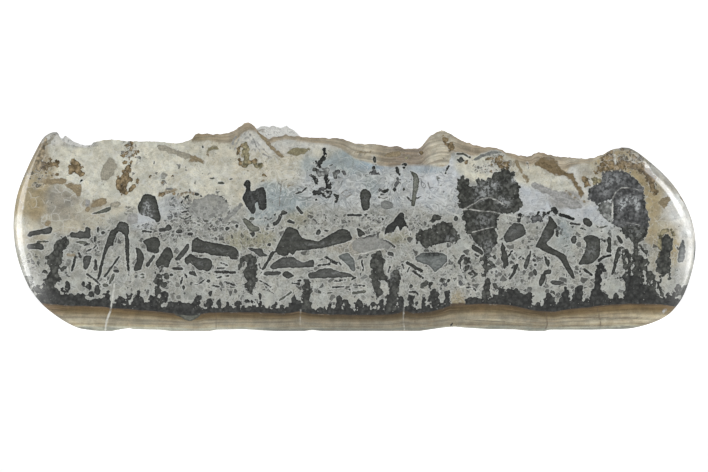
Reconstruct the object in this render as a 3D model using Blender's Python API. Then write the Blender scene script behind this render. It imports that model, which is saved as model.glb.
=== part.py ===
"""A slab of landscape-marble stromatolite, cut across the bedding and standing on its lowest bed.

One natural stone, so one solid. Its front is a flat polished face, which rolls over in a soft
bullnose at both ends and in a small round along the base. Its back is sawn flat. Its top is the
natural crust of the bed, crinkled and lumpy, and its underside is the bedding plane, worn flat
where it rests and a little hollow between.

Frame: X runs along the slab, the polished face looks along -Y, +Z is up through the beds. The
origin is at the middle of the underside. Outlines are in millimetres, and the mesh in metres.
"""

import bmesh
import bpy
import numpy as np
from mathutils import Vector, noise

# ---- Driving dimensions, in millimetres ---------------------------------------------------

THICKNESS = 28.0
END_ROUND = 7.0  # how far in from the tip of an end the polished face starts to roll over
RIM_ROUND = 2.2  # the same along the base and where an end runs into the base
SHOULDER_ROUND = 3.0  # the same at the upper shoulders
ROUND_DEPTH_RATIO = 1.25  # the roll-over is this much deeper than it is wide
BACK_EDGE_ROUND = 0.8

# Outline of the polished face, as (x, z) points. Both ends run from the base upwards.
LEFT_END = [
    (-105.2, 0.35), (-110.2, 1.2), (-115.2, 3.5), (-120.2, 6.8), (-125.2, 11.1), (-130.2, 17.6),
    (-133.8, 25.8), (-135.7, 33.3), (-136.5, 41.5), (-135.9, 49.8), (-134.2, 57.0),
    (-130.5, 65.8), (-126.5, 73.8), (-124.3, 77.3), (-121.4, 79.3), (-118.4, 79.6),
]  # fmt: skip
RIGHT_END = [
    (104.8, 0.75), (109.8, 1.0), (114.8, 2.0), (119.8, 3.6), (123.8, 5.5), (126.8, 7.8),
    (129.8, 11.4), (131.8, 14.8), (133.8, 19.8), (135.3, 24.8), (136.2, 29.4), (136.5, 34.5),
    (136.0, 40.3), (133.9, 47.9), (129.8, 55.5), (125.7, 60.8), (121.6, 64.9), (116.8, 68.8),
    (112.8, 71.7), (109.8, 73.2), (106.8, 73.5),
]  # fmt: skip

# Crest of the polished face under the natural crust, with the peaks, saddles and the ledge at -64.
CREST = [
    (-118.4, 79.6), (-117.0, 76.0), (-113.2, 74.8), (-110.2, 73.8), (-107.2, 73.6),
    (-105.2, 74.3), (-104.2, 75.6), (-102.2, 76.0), (-98.2, 76.8), (-94.2, 76.5), (-90.2, 76.1),
    (-85.2, 75.9), (-78.2, 75.8), (-74.2, 75.4), (-71.2, 75.0), (-68.2, 75.6), (-65.7, 76.6),
    (-64.4, 77.1), (-63.9, 78.8), (-62.2, 79.1), (-56.2, 79.0), (-51.7, 79.0), (-48.2, 80.1),
    (-46.2, 81.6), (-44.2, 83.1), (-42.7, 83.5), (-41.2, 83.2), (-39.7, 81.8), (-38.2, 79.8),
    (-36.7, 78.3), (-34.2, 76.8), (-32.2, 77.7), (-30.2, 77.8), (-27.2, 78.8), (-26.2, 78.1),
    (-21.2, 77.9), (-17.2, 77.4), (-6.2, 77.2), (-4.2, 76.8), (-0.2, 75.2), (1.8, 75.0),
    (9.8, 74.8), (13.8, 73.9), (16.8, 74.1), (20.3, 73.1), (25.3, 73.0), (26.8, 73.7),
    (28.8, 76.9), (29.8, 77.9), (33.3, 79.9), (34.8, 80.3), (36.8, 79.8), (42.8, 76.1),
    (45.8, 75.4), (47.8, 74.4), (56.8, 73.2), (58.8, 72.6), (60.3, 71.5), (64.8, 70.6),
    (68.8, 69.9), (70.8, 70.2), (71.8, 71.2), (73.3, 71.6), (75.8, 71.3), (80.8, 69.9),
    (90.8, 69.1), (94.8, 69.3), (98.8, 70.6), (102.8, 72.6), (106.8, 73.5),
]  # fmt: skip

# How far the crust climbs above that crest a little way behind the face, as (x, rise).
CRUST_RISE = [
    (-119.6, 0.0), (-118.0, 1.2), (-116.0, 4.4), (-114.0, 4.4), (-111.0, 3.6), (-108.0, 3.0),
    (-105.0, 1.7), (-103.5, 0.0), (-84.5, 0.0), (-83.0, 0.7), (-81.0, 0.0), (-60.0, 0.0),
    (-58.2, 0.8), (-56.4, 0.0), (-40.6, 0.0), (-38.7, 2.2), (-36.2, 4.7), (-33.2, 5.8),
    (-28.2, 4.6), (-25.2, 3.6), (-22.2, 1.7), (-19.8, 0.0), (79.5, 0.0), (81.5, 0.5),
    (84.0, 0.2), (86.2, 0.8), (88.4, 0.0),
]  # fmt: skip
CRUST_RISE_REACH = 7.0  # how far behind the face that climb ends

# Underside: level ground where it rests, shallow hollows between, as (x, z).
UNDERSIDE = [
    (-105.2, 0.35), (-102.0, 0.0), (-97.0, 0.0), (-92.0, 0.9), (-90.0, 1.1), (-88.0, 0.7),
    (-78.0, 0.5), (-73.0, 0.0), (-58.0, 0.0), (-55.0, 0.5), (-44.0, 0.7), (-38.0, 0.3),
    (-32.0, 0.0), (-20.0, 0.0), (-17.0, 0.4), (-13.0, 0.0), (26.0, 0.0), (33.0, 1.0),
    (36.0, 1.4), (40.0, 1.7), (44.0, 1.3), (54.0, 0.7), (64.0, 0.6), (70.0, 0.0), (76.0, 0.0),
    (78.0, 0.5), (95.0, 0.5), (104.8, 0.75),
]  # fmt: skip

# Natural relief of the crust, all of it cut down from the skyline above.
HEAD_SIZE, HEAD_HEIGHT = 9.5, 3.0  # cauliflower heads, with creases between them
SAG_SIZE, SAG_DEPTH = 31.0, 2.4  # broad sags
WRINKLE_SIZE, WRINKLE_DEPTH = 4.6, 0.9  # crinkles on the heads
CRUST_FALL = 1.0  # the crust is this much lower at the back
CRUST_START = 4.5  # how far behind the face the relief is at its full depth
PEAK_REACH = 22.0  # how far behind the face its peaks have died away
PEAK_SPREAD = (-14.0, -7.0, 0.0, 7.0, 14.0)  # the places along the crest that a dead peak averages

# ---- Mesh density -------------------------------------------------------------------------

COLUMN_PITCH = 1.75
END_REACH, END_COLUMNS = 20.0, 14
FACE_POINTS, CRUST_POINTS, BACK_POINTS, BASE_POINTS = 8, 15, 7, 4
ROUND_STEPS = (0.0, 0.06, 0.25, 0.55, 1.0)  # points up the rounded lower edge, in shares of it
CURVE_SAMPLES = 12  # points of a smoothed outline for each point given

STONE_COLOUR = (0.42, 0.41, 0.37, 1.0)
POLISH_ROUGHNESS = 0.25
MM = 0.001


# ---- Outlines -----------------------------------------------------------------------------


def smoothed(points):
    """A Catmull-Rom curve through the points, as an array of (x, z)."""
    given = np.array(points, float)
    given = np.vstack([2 * given[0] - given[1], given, 2 * given[-1] - given[-2]])
    share = np.arange(CURVE_SAMPLES)[:, None] / CURVE_SAMPLES
    spans = []
    for before, start, end, after in zip(given, given[1:], given[2:], given[3:], strict=False):
        spans.append(
            start
            + 0.5 * share * (end - before)
            + share**2 * (before - 2.5 * start + 2 * end - 0.5 * after)
            + share**3 * (1.5 * (start - end) + 0.5 * (after - before))
        )
    return np.vstack([*spans, given[-2:-1]])


LEFT_CURVE, RIGHT_CURVE = smoothed(LEFT_END), smoothed(RIGHT_END)
LEFT_TIP, RIGHT_TIP = LEFT_CURVE[:, 0].argmin(), RIGHT_CURVE[:, 0].argmax()


def height_at(x, left_branch, middle, right_branch):
    """The outline's z at x, read from the curve of an end or from the points between the ends."""
    if x < middle[0][0]:
        curve = left_branch[left_branch[:, 0].argsort()]
    elif x > middle[-1][0]:
        curve = right_branch[right_branch[:, 0].argsort()]
    else:
        curve = np.array(middle)
    return float(np.interp(x, curve[:, 0], curve[:, 1]))


def lowest(x):
    return height_at(x, LEFT_CURVE[: LEFT_TIP + 1], UNDERSIDE, RIGHT_CURVE[: RIGHT_TIP + 1])


def highest(x):
    return height_at(x, LEFT_CURVE[LEFT_TIP:], CREST, RIGHT_CURVE[RIGHT_TIP:])


# ---- Surfaces -----------------------------------------------------------------------------


def eased(value, low, high):
    """0 up to low, 1 from high on, and a smooth step between."""
    share = min(1.0, max(0.0, (value - low) / (high - low)))
    return share * share * (3 - 2 * share)


def end_round(z):
    """How wide the roll-over of an end is at height z: widest half-way up."""
    lower = RIM_ROUND + (END_ROUND - RIM_ROUND) * eased(z, 4, 30)
    return lower + (SHOULDER_ROUND - END_ROUND) * eased(z, 52, 72)


def fall_back(distance, width, depth):
    """How far a rounded edge has fallen back at this distance in from its rim."""
    share = min(1.0, max(0.0, 1 - distance / width))
    return depth * (1 - (1 - share * share) ** 0.5)


def from_ends(x, z):
    """Distance from a point of the face to the outline of the nearer end."""
    return min(np.hypot(*(curve - (x, z)).T).min() for curve in (LEFT_CURVE, RIGHT_CURVE))


def face_y(x, z):
    """The polished face, with its rounded ends and its rounded lower edge."""
    width = end_round(z)
    over_end = fall_back(from_ends(x, z), width, width * ROUND_DEPTH_RATIO)
    over_base = fall_back(z - lowest(x), RIM_ROUND, RIM_ROUND * ROUND_DEPTH_RATIO)
    return -THICKNESS / 2 + max(over_end, over_base)


def back_y(x, z):
    """The sawn back, with its edges just broken."""
    distance = min(from_ends(x, z), z - lowest(x), highest(x) - z)
    return THICKNESS / 2 - fall_back(distance, BACK_EDGE_ROUND, BACK_EDGE_ROUND)


def worn_peak(x):
    """How far the crest at x stands above its neighbours, and so falls away towards the back."""
    around = np.mean([highest(min(106.0, max(-117.0, x + step))) for step in PEAK_SPREAD])
    return max(0.0, highest(x) - around)


def crust_z(x, behind):
    """The natural top at this distance behind the face."""
    rises = np.array(CRUST_RISE)
    rise = float(np.interp(x, rises[:, 0], rises[:, 1])) * eased(behind, 0, CRUST_RISE_REACH)
    nearest_head = noise.voronoi(Vector((x / HEAD_SIZE, behind / HEAD_SIZE, 3.7)))[0][0]
    sag = 0.5 + noise.noise(Vector((x / SAG_SIZE, behind / SAG_SIZE, 1.3)))
    wrinkle = abs(noise.noise(Vector((x / WRINKLE_SIZE, behind / WRINKLE_SIZE, 9.1))))
    cut = HEAD_HEIGHT * nearest_head**2 + SAG_DEPTH * max(0.0, sag) + 2 * WRINKLE_DEPTH * wrinkle
    cut += CRUST_FALL * behind / THICKNESS + worn_peak(x) * eased(behind, 0, PEAK_REACH)
    wild = eased(behind, 0, CRUST_START) * eased(x, -124, -114) * eased(-x, -112, -103)
    return highest(x) + rise - wild * cut


# ---- The solid ----------------------------------------------------------------------------


def column_places():
    """x of every cross-section: even along the slab, and closing up as an end rounds off."""
    left, right = LEFT_CURVE[LEFT_TIP, 0], RIGHT_CURVE[RIGHT_TIP, 0]
    closing = END_REACH * ((np.arange(END_COLUMNS) + 0.3) / END_COLUMNS) ** 2
    count = round((right - left - 2 * END_REACH) / COLUMN_PITCH)
    even = np.linspace(left + END_REACH, right - END_REACH, count + 1)
    return [*(left + closing), *even, *(right - closing[::-1])]


def cross_section(x):
    """The slab's outline in the plane at x: up the face, back over the crust, down and home."""
    low, high = lowest(x), highest(x)
    rounded = min(RIM_ROUND, 0.2 * (high - low))
    spread = (1 - np.cos(np.pi * np.arange(1, FACE_POINTS) / (FACE_POINTS - 1))) / 2
    up_round = low + rounded * np.array(ROUND_STEPS)
    up_face = low + rounded + (high - low - rounded) * spread
    face = [(face_y(x, z), z) for z in (*up_round, *up_face)]
    front, broken = face[-1][0], THICKNESS / 2 - BACK_EDGE_ROUND
    over = np.linspace(0, 1, CRUST_POINTS + 1)[1:] * (broken - front)
    crust = [(front + step, crust_z(x, step)) for step in over]
    top = crust[-1][1]
    edge = min(BACK_EDGE_ROUND, 0.3 * (top - low))
    down = np.linspace(top - edge, low + edge, BACK_POINTS)
    back = [(back_y(x, min(z, high - edge)), z) for z in down]
    under = [(y, low) for y in np.linspace(broken, face[0][0], BASE_POINTS + 1)[:-1]]
    return face + crust + back + under


def build_slab():
    """Lofts the cross-sections along the slab and closes both tips."""
    shape = bmesh.new()
    rings = []
    for x in column_places():
        rings.append([shape.verts.new((x * MM, y * MM, z * MM)) for y, z in cross_section(x)])
    for ring, following in zip(rings, rings[1:], strict=False):
        for i in range(len(ring)):
            before = i - 1
            shape.faces.new((ring[before], ring[i], following[i], following[before]))
    for tip in (rings[0], rings[-1]):
        shape.faces.new(tip)
    bmesh.ops.recalc_face_normals(shape, faces=shape.faces)
    mesh = bpy.data.meshes.new("stromatolite_slab")
    shape.to_mesh(mesh)
    shape.free()
    mesh.shade_smooth()
    mesh.set_sharp_from_angle(angle=np.radians(40))
    return bpy.data.objects.new("stromatolite_slab", mesh)


def stone_material():
    material = bpy.data.materials.new("polished_limestone")
    material.use_nodes = True
    surface = material.node_tree.nodes["Principled BSDF"]
    surface.inputs["Base Color"].default_value = STONE_COLOUR
    surface.inputs["Roughness"].default_value = POLISH_ROUGHNESS
    surface.inputs["Metallic"].default_value = 0.0
    return material


def main():
    for leftover in list(bpy.data.objects):
        bpy.data.objects.remove(leftover)
    slab = build_slab()
    slab.data.materials.append(stone_material())
    collection = bpy.data.collections.new("stromatolite fossil")
    bpy.context.scene.collection.children.link(collection)
    collection.objects.link(slab)


main()
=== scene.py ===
# %% [markdown]
# # A slab of landscape-marble stromatolite
#
# The real thing is one natural stone. Microbes built it up in a shallow lagoon, layer on layer: a
# brown laminated bed at the bottom, a black fringe of little bushes on it, branching columns in pale
# lime mud with broken chips between them, and a crinkled crust on top. A saw cuts the bed across,
# and a polisher turns the cut into a picture. So there is one mesh here, and the picture lies in
# the stone: each point of the mesh knows how far it is from the edge of the nearest growth, chip
# or vein, and the materials turn those distances into sharp, ragged edges.

# %% Load the frame
import math

import bpy
import numpy as np
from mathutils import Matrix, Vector, noise


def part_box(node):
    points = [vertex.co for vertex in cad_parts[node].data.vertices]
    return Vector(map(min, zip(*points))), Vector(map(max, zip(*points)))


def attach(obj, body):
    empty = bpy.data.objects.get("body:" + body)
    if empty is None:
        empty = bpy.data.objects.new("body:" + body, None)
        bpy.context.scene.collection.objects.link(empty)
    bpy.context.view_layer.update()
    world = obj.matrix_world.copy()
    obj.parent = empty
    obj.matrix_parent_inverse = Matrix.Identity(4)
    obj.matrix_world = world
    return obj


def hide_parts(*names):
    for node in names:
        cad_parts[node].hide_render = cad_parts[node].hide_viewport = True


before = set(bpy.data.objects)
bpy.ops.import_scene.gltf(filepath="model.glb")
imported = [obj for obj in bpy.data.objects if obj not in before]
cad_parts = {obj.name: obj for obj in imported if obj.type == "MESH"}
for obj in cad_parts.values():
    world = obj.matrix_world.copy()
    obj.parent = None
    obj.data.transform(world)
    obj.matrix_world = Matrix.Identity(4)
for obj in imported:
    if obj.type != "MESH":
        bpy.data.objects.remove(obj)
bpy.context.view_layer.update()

solid_low, solid_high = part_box("stromatolite_slab")
print("solid from", tuple(round(v, 4) for v in solid_low), "to", tuple(round(v, 4) for v in solid_high))

# %% [markdown]
# ## Camera, light and floor
#
# Stone like this is shown upright against white, lit softly so that the polish doesn't hide the
# figure. A long lens stands straight in front. A narrow upright strip stands close beside each end,
# and lays a bright band along the rounded end. A small box on the floor carries the left band on
# round the foot. A panel high on the right washes over that shoulder. The boxes that fill the face
# leave no mirror image, so the flat face mirrors only the dim room behind the camera. The floor
# and the wall behind are one curved sheet, so no line shows where they meet.

# %% Camera
MM = 0.001
FACE_Y = -14.0  # the polished face, in mm
VIEW_CENTRE = (-0.2, 38.0)  # x and z that the lens looks at, in mm
VIEW_WIDTH = 282.7  # what the picture takes in at the polished face, in mm
VIEW_DISTANCE = 4000.0
SENSOR_WIDTH = 36.0

lens = bpy.data.cameras.new("portrait_lens")
lens.sensor_width = SENSOR_WIDTH
lens.lens = SENSOR_WIDTH * VIEW_DISTANCE / VIEW_WIDTH
lens.clip_start = 0.05
lens.clip_end = 20.0
camera = bpy.data.objects.new("camera", lens)
camera.location = (VIEW_CENTRE[0] * MM, (FACE_Y - VIEW_DISTANCE) * MM, VIEW_CENTRE[1] * MM)
camera.rotation_euler = (math.pi / 2, 0.0, 0.0)
bpy.context.scene.collection.objects.link(camera)
bpy.context.scene.camera = camera
bpy.context.scene.view_settings.view_transform = "Standard"
print("lens", round(lens.lens, 1), "mm")

# %% Soft boxes and room
def soft_box(name, place, target, size, power, mirrored=True):
    """A rectangular light at place that looks at target. Places are in metres, power in watts."""
    light = bpy.data.lights.new(name, "AREA")
    light.shape = "RECTANGLE"
    light.size, light.size_y = size
    light.energy = power
    box = bpy.data.objects.new(name, light)
    box.location = place
    box.visible_glossy = mirrored
    aim = Vector(target) - Vector(place)
    box.rotation_euler = aim.to_track_quat("-Z", "Y").to_euler()
    bpy.context.scene.collection.objects.link(box)


soft_box("left_strip", (-0.21, -0.006, 0.12), (-0.1, -0.006, 0.12), (0.07, 0.24), 0.097)
soft_box("left_foot", (-0.182, -0.006, 0.003), (-0.182, -0.006, 1.0), (0.056, 0.07), 0.008)
soft_box("right_strip", (0.21, 0.003, 0.07), (0.1, 0.003, 0.07), (0.065, 0.14), 0.034)
soft_box("shoulder_panel", (0.85, 0.02, 0.74), (0.12, 0, 0.06), (0.5, 0.6), 2.0)
soft_box("left_fill", (-0.9, -1.0, 0.4), (-0.05, 0, 0.04), (0.5, 0.5), 3.1, mirrored=False)
soft_box("right_fill", (0.9, -1.0, 0.4), (0.05, 0, 0.04), (0.5, 0.5), 2.5, mirrored=False)
soft_box("overhead_box", (0.0, -0.25, 1.1), (0, 0, 0.04), (1.3, 0.9), 3.2)
soft_box("back_box", (0.1, 1.2, 0.8), (0, 0, 0.06), (1.2, 0.8), 3.0)

room = bpy.data.worlds.new("white_room")
room.use_nodes = True
glow = room.node_tree.nodes["Background"].inputs
glow["Color"].default_value = (0.93, 0.96, 1.0, 1.0)
glow["Strength"].default_value = 0.17
bpy.context.scene.world = room
print(len(bpy.data.lights), "soft boxes in", room.name)

# %% Floor and wall in one sheet
SWEEP_WIDTH, SWEEP_FRONT, SWEEP_BACK, SWEEP_RADIUS, SWEEP_TOP = 9.0, -2.7, 7.0, 0.9, 3.4


def white_sweep():
    """A floor that curves up into a wall, as (y, z) points pulled across the room."""
    turn = [math.radians(6 * step) for step in range(16)]
    bend = [(SWEEP_BACK + SWEEP_RADIUS * math.sin(a), SWEEP_RADIUS * (1 - math.cos(a))) for a in turn]
    section = [(SWEEP_FRONT, 0.0), (0.0, 0.0), *bend, (SWEEP_BACK + SWEEP_RADIUS, SWEEP_TOP)]
    half = SWEEP_WIDTH / 2
    points = [(side * half, y, z) for y, z in section for side in (-1, 1)]
    faces = [(2 * i, 2 * i + 1, 2 * i + 3, 2 * i + 2) for i in range(len(section) - 1)]
    mesh = bpy.data.meshes.new("white_sweep")
    mesh.from_pydata(points, [], faces)
    mesh.shade_smooth()
    sheet = bpy.data.objects.new("white_sweep", mesh)
    bpy.context.scene.collection.objects.link(sheet)
    paint = bpy.data.materials.new("matt_white")
    paint.use_nodes = True
    surface = paint.node_tree.nodes["Principled BSDF"].inputs
    surface["Base Color"].default_value = (0.8, 0.8, 0.8, 1.0)
    surface["Roughness"].default_value = 0.9
    surface["Specular IOR Level"].default_value = 0.1
    surface["Emission Color"].default_value = (1.0, 1.0, 1.0, 1.0)
    surface["Emission Strength"].default_value = 0.84
    mesh.materials.append(paint)
    return sheet


white_sweep()
print("floor and wall in place")

# %% [markdown]
# ## The outline of the slab
#
# The cut follows the natural block, so the outline has no simple rule: it is given, in
# millimetres, as the solid has it. Both ends are smooth curves, and the crest between them is
# broken rock with peaks and saddles. A curve through a few points is easier to correct than many
# points, so both ends are smoothed.

# %% Outline values
THICKNESS = 28.0
END_ROUND, SHOULDER_ROUND, RIM_ROUND = 7.0, 3.0, 2.2  # where the face starts to roll over
RIGHT_SHOULDER_ROUND = 9.5  # the right shoulder was ground away further
ROUND_DEPTH_RATIO = 1.25  # the roll-over is this much deeper than it is wide
BACK_EDGE_ROUND = 0.8

LEFT_END = [
    (-105.2, 0.35), (-110.2, 1.2), (-115.2, 3.5), (-120.2, 6.8), (-125.2, 11.1), (-130.2, 17.6),
    (-133.8, 25.8), (-135.7, 33.3), (-136.5, 41.5), (-135.9, 49.8), (-134.2, 57), (-130.5, 65.8),
    (-126.5, 73.8), (-124.3, 77.3), (-121.4, 79.3), (-118.4, 79.6),
]
RIGHT_END = [
    (104.8, 0.75), (109.8, 1), (114.8, 2), (119.8, 3.6), (123.8, 5.5), (126.8, 7.8), (129.8, 11.4),
    (131.8, 14.8), (133.8, 19.8), (135.3, 24.8), (136.2, 29.4), (136.5, 34.5), (136, 40.3), (133.9, 47.9),
    (129.8, 55.5), (125.7, 60.8), (121.6, 64.9), (116.8, 68.8), (112.8, 71.7), (109.8, 73.2), (106.8, 73.5),
]
CREST = [
    (-118.4, 79.6), (-117, 76), (-113.2, 74.8), (-110.2, 73.8), (-107.2, 73.6), (-105.2, 74.3),
    (-104.2, 75.6), (-102.2, 76), (-98.2, 76.8), (-94.2, 76.5), (-90.2, 76.1), (-85.2, 75.9), (-78.2, 75.8),
    (-74.2, 75.4), (-71.2, 75), (-68.2, 75.6), (-65.7, 76.6), (-64.4, 77.1), (-63.9, 78.8), (-62.2, 79.1),
    (-56.2, 79), (-51.7, 79), (-48.2, 80.1), (-46.2, 81.6), (-44.2, 83.1), (-42.7, 83.5), (-41.2, 83.2),
    (-39.7, 81.8), (-38.2, 79.8), (-36.7, 78.3), (-34.2, 76.8), (-32.2, 77.7), (-30.2, 77.8), (-27.2, 78.8),
    (-26.2, 78.1), (-21.2, 77.9), (-17.2, 77.4), (-6.2, 77.2), (-4.2, 76.8), (-0.2, 75.2), (1.8, 75),
    (9.8, 74.8), (13.8, 73.9), (16.8, 74.1), (20.3, 73.1), (25.3, 73), (26.8, 73.7), (28.8, 76.9),
    (29.8, 77.9), (33.3, 79.9), (34.8, 80.3), (36.8, 79.8), (42.8, 76.1), (45.8, 75.4), (47.8, 74.4),
    (56.8, 73.2), (58.8, 72.6), (60.3, 71.5), (64.8, 70.6), (68.8, 69.9), (70.8, 70.2), (71.8, 71.2),
    (73.3, 71.6), (75.8, 71.3), (80.8, 69.9), (90.8, 69.1), (94.8, 69.3), (98.8, 70.6), (102.8, 72.6),
    (106.8, 73.5),
]
CRUST_RISE = [
    (-119.6, 0), (-118, 1.2), (-116, 4.4), (-114, 4.4), (-111, 3.6), (-108, 3), (-105, 1.7), (-103.5, 0),
    (-84.5, 0), (-83, 0.7), (-81, 0), (-60, 0), (-58.2, 0.8), (-56.4, 0), (-40.6, 0), (-38.7, 2.2),
    (-36.2, 4.7), (-33.2, 5.8), (-28.2, 4.6), (-25.2, 3.6), (-22.2, 1.7), (-19.8, 0), (79.5, 0),
    (81.5, 0.5), (84, 0.2), (86.2, 0.8), (88.4, 0),
]
UNDERSIDE = [
    (-105.2, 0.35), (-102, 0), (-97, 0), (-92, 0.9), (-90, 1.1), (-88, 0.7), (-78, 0.5), (-73, 0), (-58, 0),
    (-55, 0.5), (-44, 0.7), (-38, 0.3), (-32, 0), (-20, 0), (-17, 0.4), (-13, 0), (26, 0), (33, 1),
    (36, 1.4), (40, 1.7), (44, 1.3), (54, 0.7), (64, 0.6), (70, 0), (76, 0), (78, 0.5), (95, 0.5),
    (104.8, 0.75),
]


def smoothed(points, samples=12, closed=False):
    """A Catmull-Rom curve through the points, as an array of (x, z)."""
    given = np.array(points, float)
    if closed:
        given = np.vstack([given[-1], given, given[:2]])
    else:
        given = np.vstack([2 * given[0] - given[1], given, 2 * given[-1] - given[-2]])
    share = np.arange(samples)[:, None] / samples
    spans = []
    for before, start, end, after in zip(given, given[1:], given[2:], given[3:]):
        bend = before - 2.5 * start + 2 * end - 0.5 * after
        turn = 1.5 * (start - end) + 0.5 * (after - before)
        spans.append(start + 0.5 * share * (end - before) + share**2 * bend + share**3 * turn)
    return np.vstack([*spans, given[-2:-1]])


left_curve, right_curve = smoothed(LEFT_END), smoothed(RIGHT_END)
left_tip, right_tip = left_curve[:, 0].argmin(), right_curve[:, 0].argmax()
print("tips at", left_curve[left_tip].round(1), right_curve[right_tip].round(1))

# %% Heights along the slab
def height_at(x, left_branch, middle, right_branch):
    """The outline's z at x: from the curve of an end, or from the points between the ends."""
    middle = np.array(middle)
    left = left_branch[left_branch[:, 0].argsort()]
    right = right_branch[right_branch[:, 0].argsort()]
    run = np.vstack([left[left[:, 0] < middle[0, 0]], middle, right[right[:, 0] > middle[-1, 0]]])
    return np.interp(x, run[:, 0], run[:, 1])


def lowest(x):
    return height_at(x, left_curve[: left_tip + 1], UNDERSIDE, right_curve[: right_tip + 1])


def highest(x):
    return height_at(x, left_curve[left_tip:], CREST, right_curve[right_tip:])


def eased(value, low, high):
    """0 up to low, 1 from high on, and a smooth step between."""
    share = np.clip((np.asarray(value, float) - low) / (high - low), 0.0, 1.0)
    return share * share * (3 - 2 * share)


print("crest at the peak:", highest(-42.7).round(2), "mm")

# %% [markdown]
# ## The faces of the slab
#
# Four kinds of surface meet here. The polished face is flat and rolls over at both ends, because
# a flap wheel was run round them. The crust is natural: cauliflower heads with creases between,
# broad sags and fine crinkles. The back is sawn, and the underside is the bedding plane. Noise
# gives the crust its relief, always cutting down from the skyline, so the outline stays true.

# %% Distance to a path
def path_distance(x, z, path):
    """How far each place is from a path, and whether a closed path holds it."""
    start, step = path[:-1], np.diff(path, axis=0)
    nearest = np.full(x.shape, np.inf)
    held = np.zeros(x.shape, bool)
    for (ax, az), (dx, dz) in zip(start, step):
        share = np.clip(((x - ax) * dx + (z - az) * dz) / (dx * dx + dz * dz + 1e-12), 0, 1)
        nearest = np.minimum(nearest, (x - ax - share * dx) ** 2 + (z - az - share * dz) ** 2)
        if dz:
            held ^= ((az > z) != (az + dz > z)) & (x < ax + (z - az) * dx / dz)
    return np.sqrt(nearest), held


origin = np.zeros(1)
print("from the origin to the left end:", path_distance(origin, origin, left_curve)[0].round(1), "mm")

# %% Rolled edges
def end_round(x, z):
    """How wide the roll-over of an end is at height z: widest half-way up."""
    shoulder = np.where(x > 0, RIGHT_SHOULDER_ROUND, SHOULDER_ROUND)
    lower = RIM_ROUND + (END_ROUND - RIM_ROUND) * eased(z, 4, 30)
    upper = lower + (shoulder - END_ROUND) * eased(z, np.where(x > 0, 34, 52), np.where(x > 0, 52, 72))
    return upper - np.where(x > 0, shoulder - SHOULDER_ROUND, 0) * eased(z, 64, 73)


def fall_back(distance, width, depth):
    """How far a rounded edge has fallen back at this distance in from its rim."""
    share = np.clip(1 - distance / width, 0.0, 1.0)
    return depth * (1 - np.sqrt(1 - share * share))


def from_ends(x, z):
    """Distance from each place of the face to the outline of the nearer end."""
    distance = np.full(x.shape, 99.0)
    for side, curve in ((x < -85, left_curve), (x > 85, right_curve)):
        distance[side] = path_distance(x[side], z[side], curve)[0]
    return distance


def face_y(x, z):
    width = end_round(x, z)
    over_end = fall_back(from_ends(x, z), width, width * ROUND_DEPTH_RATIO)
    over_base = fall_back(z - lowest(x), RIM_ROUND, RIM_ROUND * ROUND_DEPTH_RATIO)
    return FACE_Y + np.maximum(over_end, over_base)


def back_y(x, z):
    distance = np.minimum.reduce([from_ends(x, z), z - lowest(x), highest(x) - z])
    return THICKNESS / 2 - fall_back(distance, BACK_EDGE_ROUND, BACK_EDGE_ROUND)


print("roll-over half-way up the left end:", end_round(-130, 40).round(1), "mm")

# %% Natural crust
HEAD_SIZE, HEAD_HEIGHT = 9.5, 3.0  # cauliflower heads, with creases between them
SAG_SIZE, SAG_DEPTH = 31.0, 2.4  # broad sags
WRINKLE_SIZE, WRINKLE_DEPTH = 4.6, 0.9  # crinkles on the heads
CHIP_SIZE, CHIP_DEPTH = 1.7, 0.45  # small chips and grains
CRUST_FALL = 1.0  # how much lower the crust is at the back
CRUST_START, CRUST_RISE_REACH = 4.5, 7.0  # how far back the relief, and the hump, take to grow
PEAK_REACH, PEAK_SPREAD = 22.0, (-14.0, -7.0, 0.0, 7.0, 14.0)


def worn_peak(x):
    """How far the crest stands above its neighbours, and so falls away towards the back."""
    around = np.mean([highest(np.clip(x + step, -117, 106)) for step in PEAK_SPREAD], axis=0)
    return np.maximum(0.0, highest(x) - around)


def sampled(x, behind, size, level, kind):
    """Noise read over the crust, one value for each place."""
    places = zip(x.ravel() / size, behind.ravel() / size)
    return np.array([kind(Vector((u, v, level))) for u, v in places]).reshape(x.shape)


def crust_z(x, behind):
    """The natural top at this distance behind the face, and how deep in a crease it lies."""
    rises = np.array(CRUST_RISE)
    rise = np.interp(x, rises[:, 0], rises[:, 1]) * eased(behind, 0, CRUST_RISE_REACH)
    head = sampled(x, behind, HEAD_SIZE, 3.7, lambda p: noise.voronoi(p)[0][0])
    sag = 0.5 + sampled(x, behind, SAG_SIZE, 1.3, noise.noise)
    wrinkle = np.abs(sampled(x, behind, WRINKLE_SIZE, 9.1, noise.noise))
    chips = np.abs(sampled(x, behind, CHIP_SIZE, 5.3, noise.noise))
    cut = HEAD_HEIGHT * head**2 + SAG_DEPTH * np.maximum(0.0, sag) + 2 * WRINKLE_DEPTH * wrinkle
    cut = cut + CRUST_FALL * behind / THICKNESS + worn_peak(x) * eased(behind, 0, PEAK_REACH)
    ends = eased(x, -124, -114) * eased(-x, -112, -103)
    wild = eased(behind, 0, CRUST_START) * ends
    crease = (head**2 * 1.6 + wrinkle * 1.2) * ends
    grains = 2 * CHIP_DEPTH * chips * ends * eased(behind, -0.6, 1.2)
    return highest(x) + rise - wild * cut - grains, crease


print("the highest peak stands", worn_peak(np.array([-42.7]))[0].round(1), "mm above its neighbours")

# %% [markdown]
# ## One skin for the whole stone
#
# A stone has no parts to join, so its mesh is one closed skin: cross-sections are taken along the
# slab and joined in order, each going up the face, back over the crust, down the back and home
# along the underside. The face needs a point every half millimetre to hold the figure, and the
# back doesn't, so every second cross-section stops at the crust's back edge, and five-sided faces
# close the change. The ends close up as the outline turns, so cross-sections crowd there.

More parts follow.
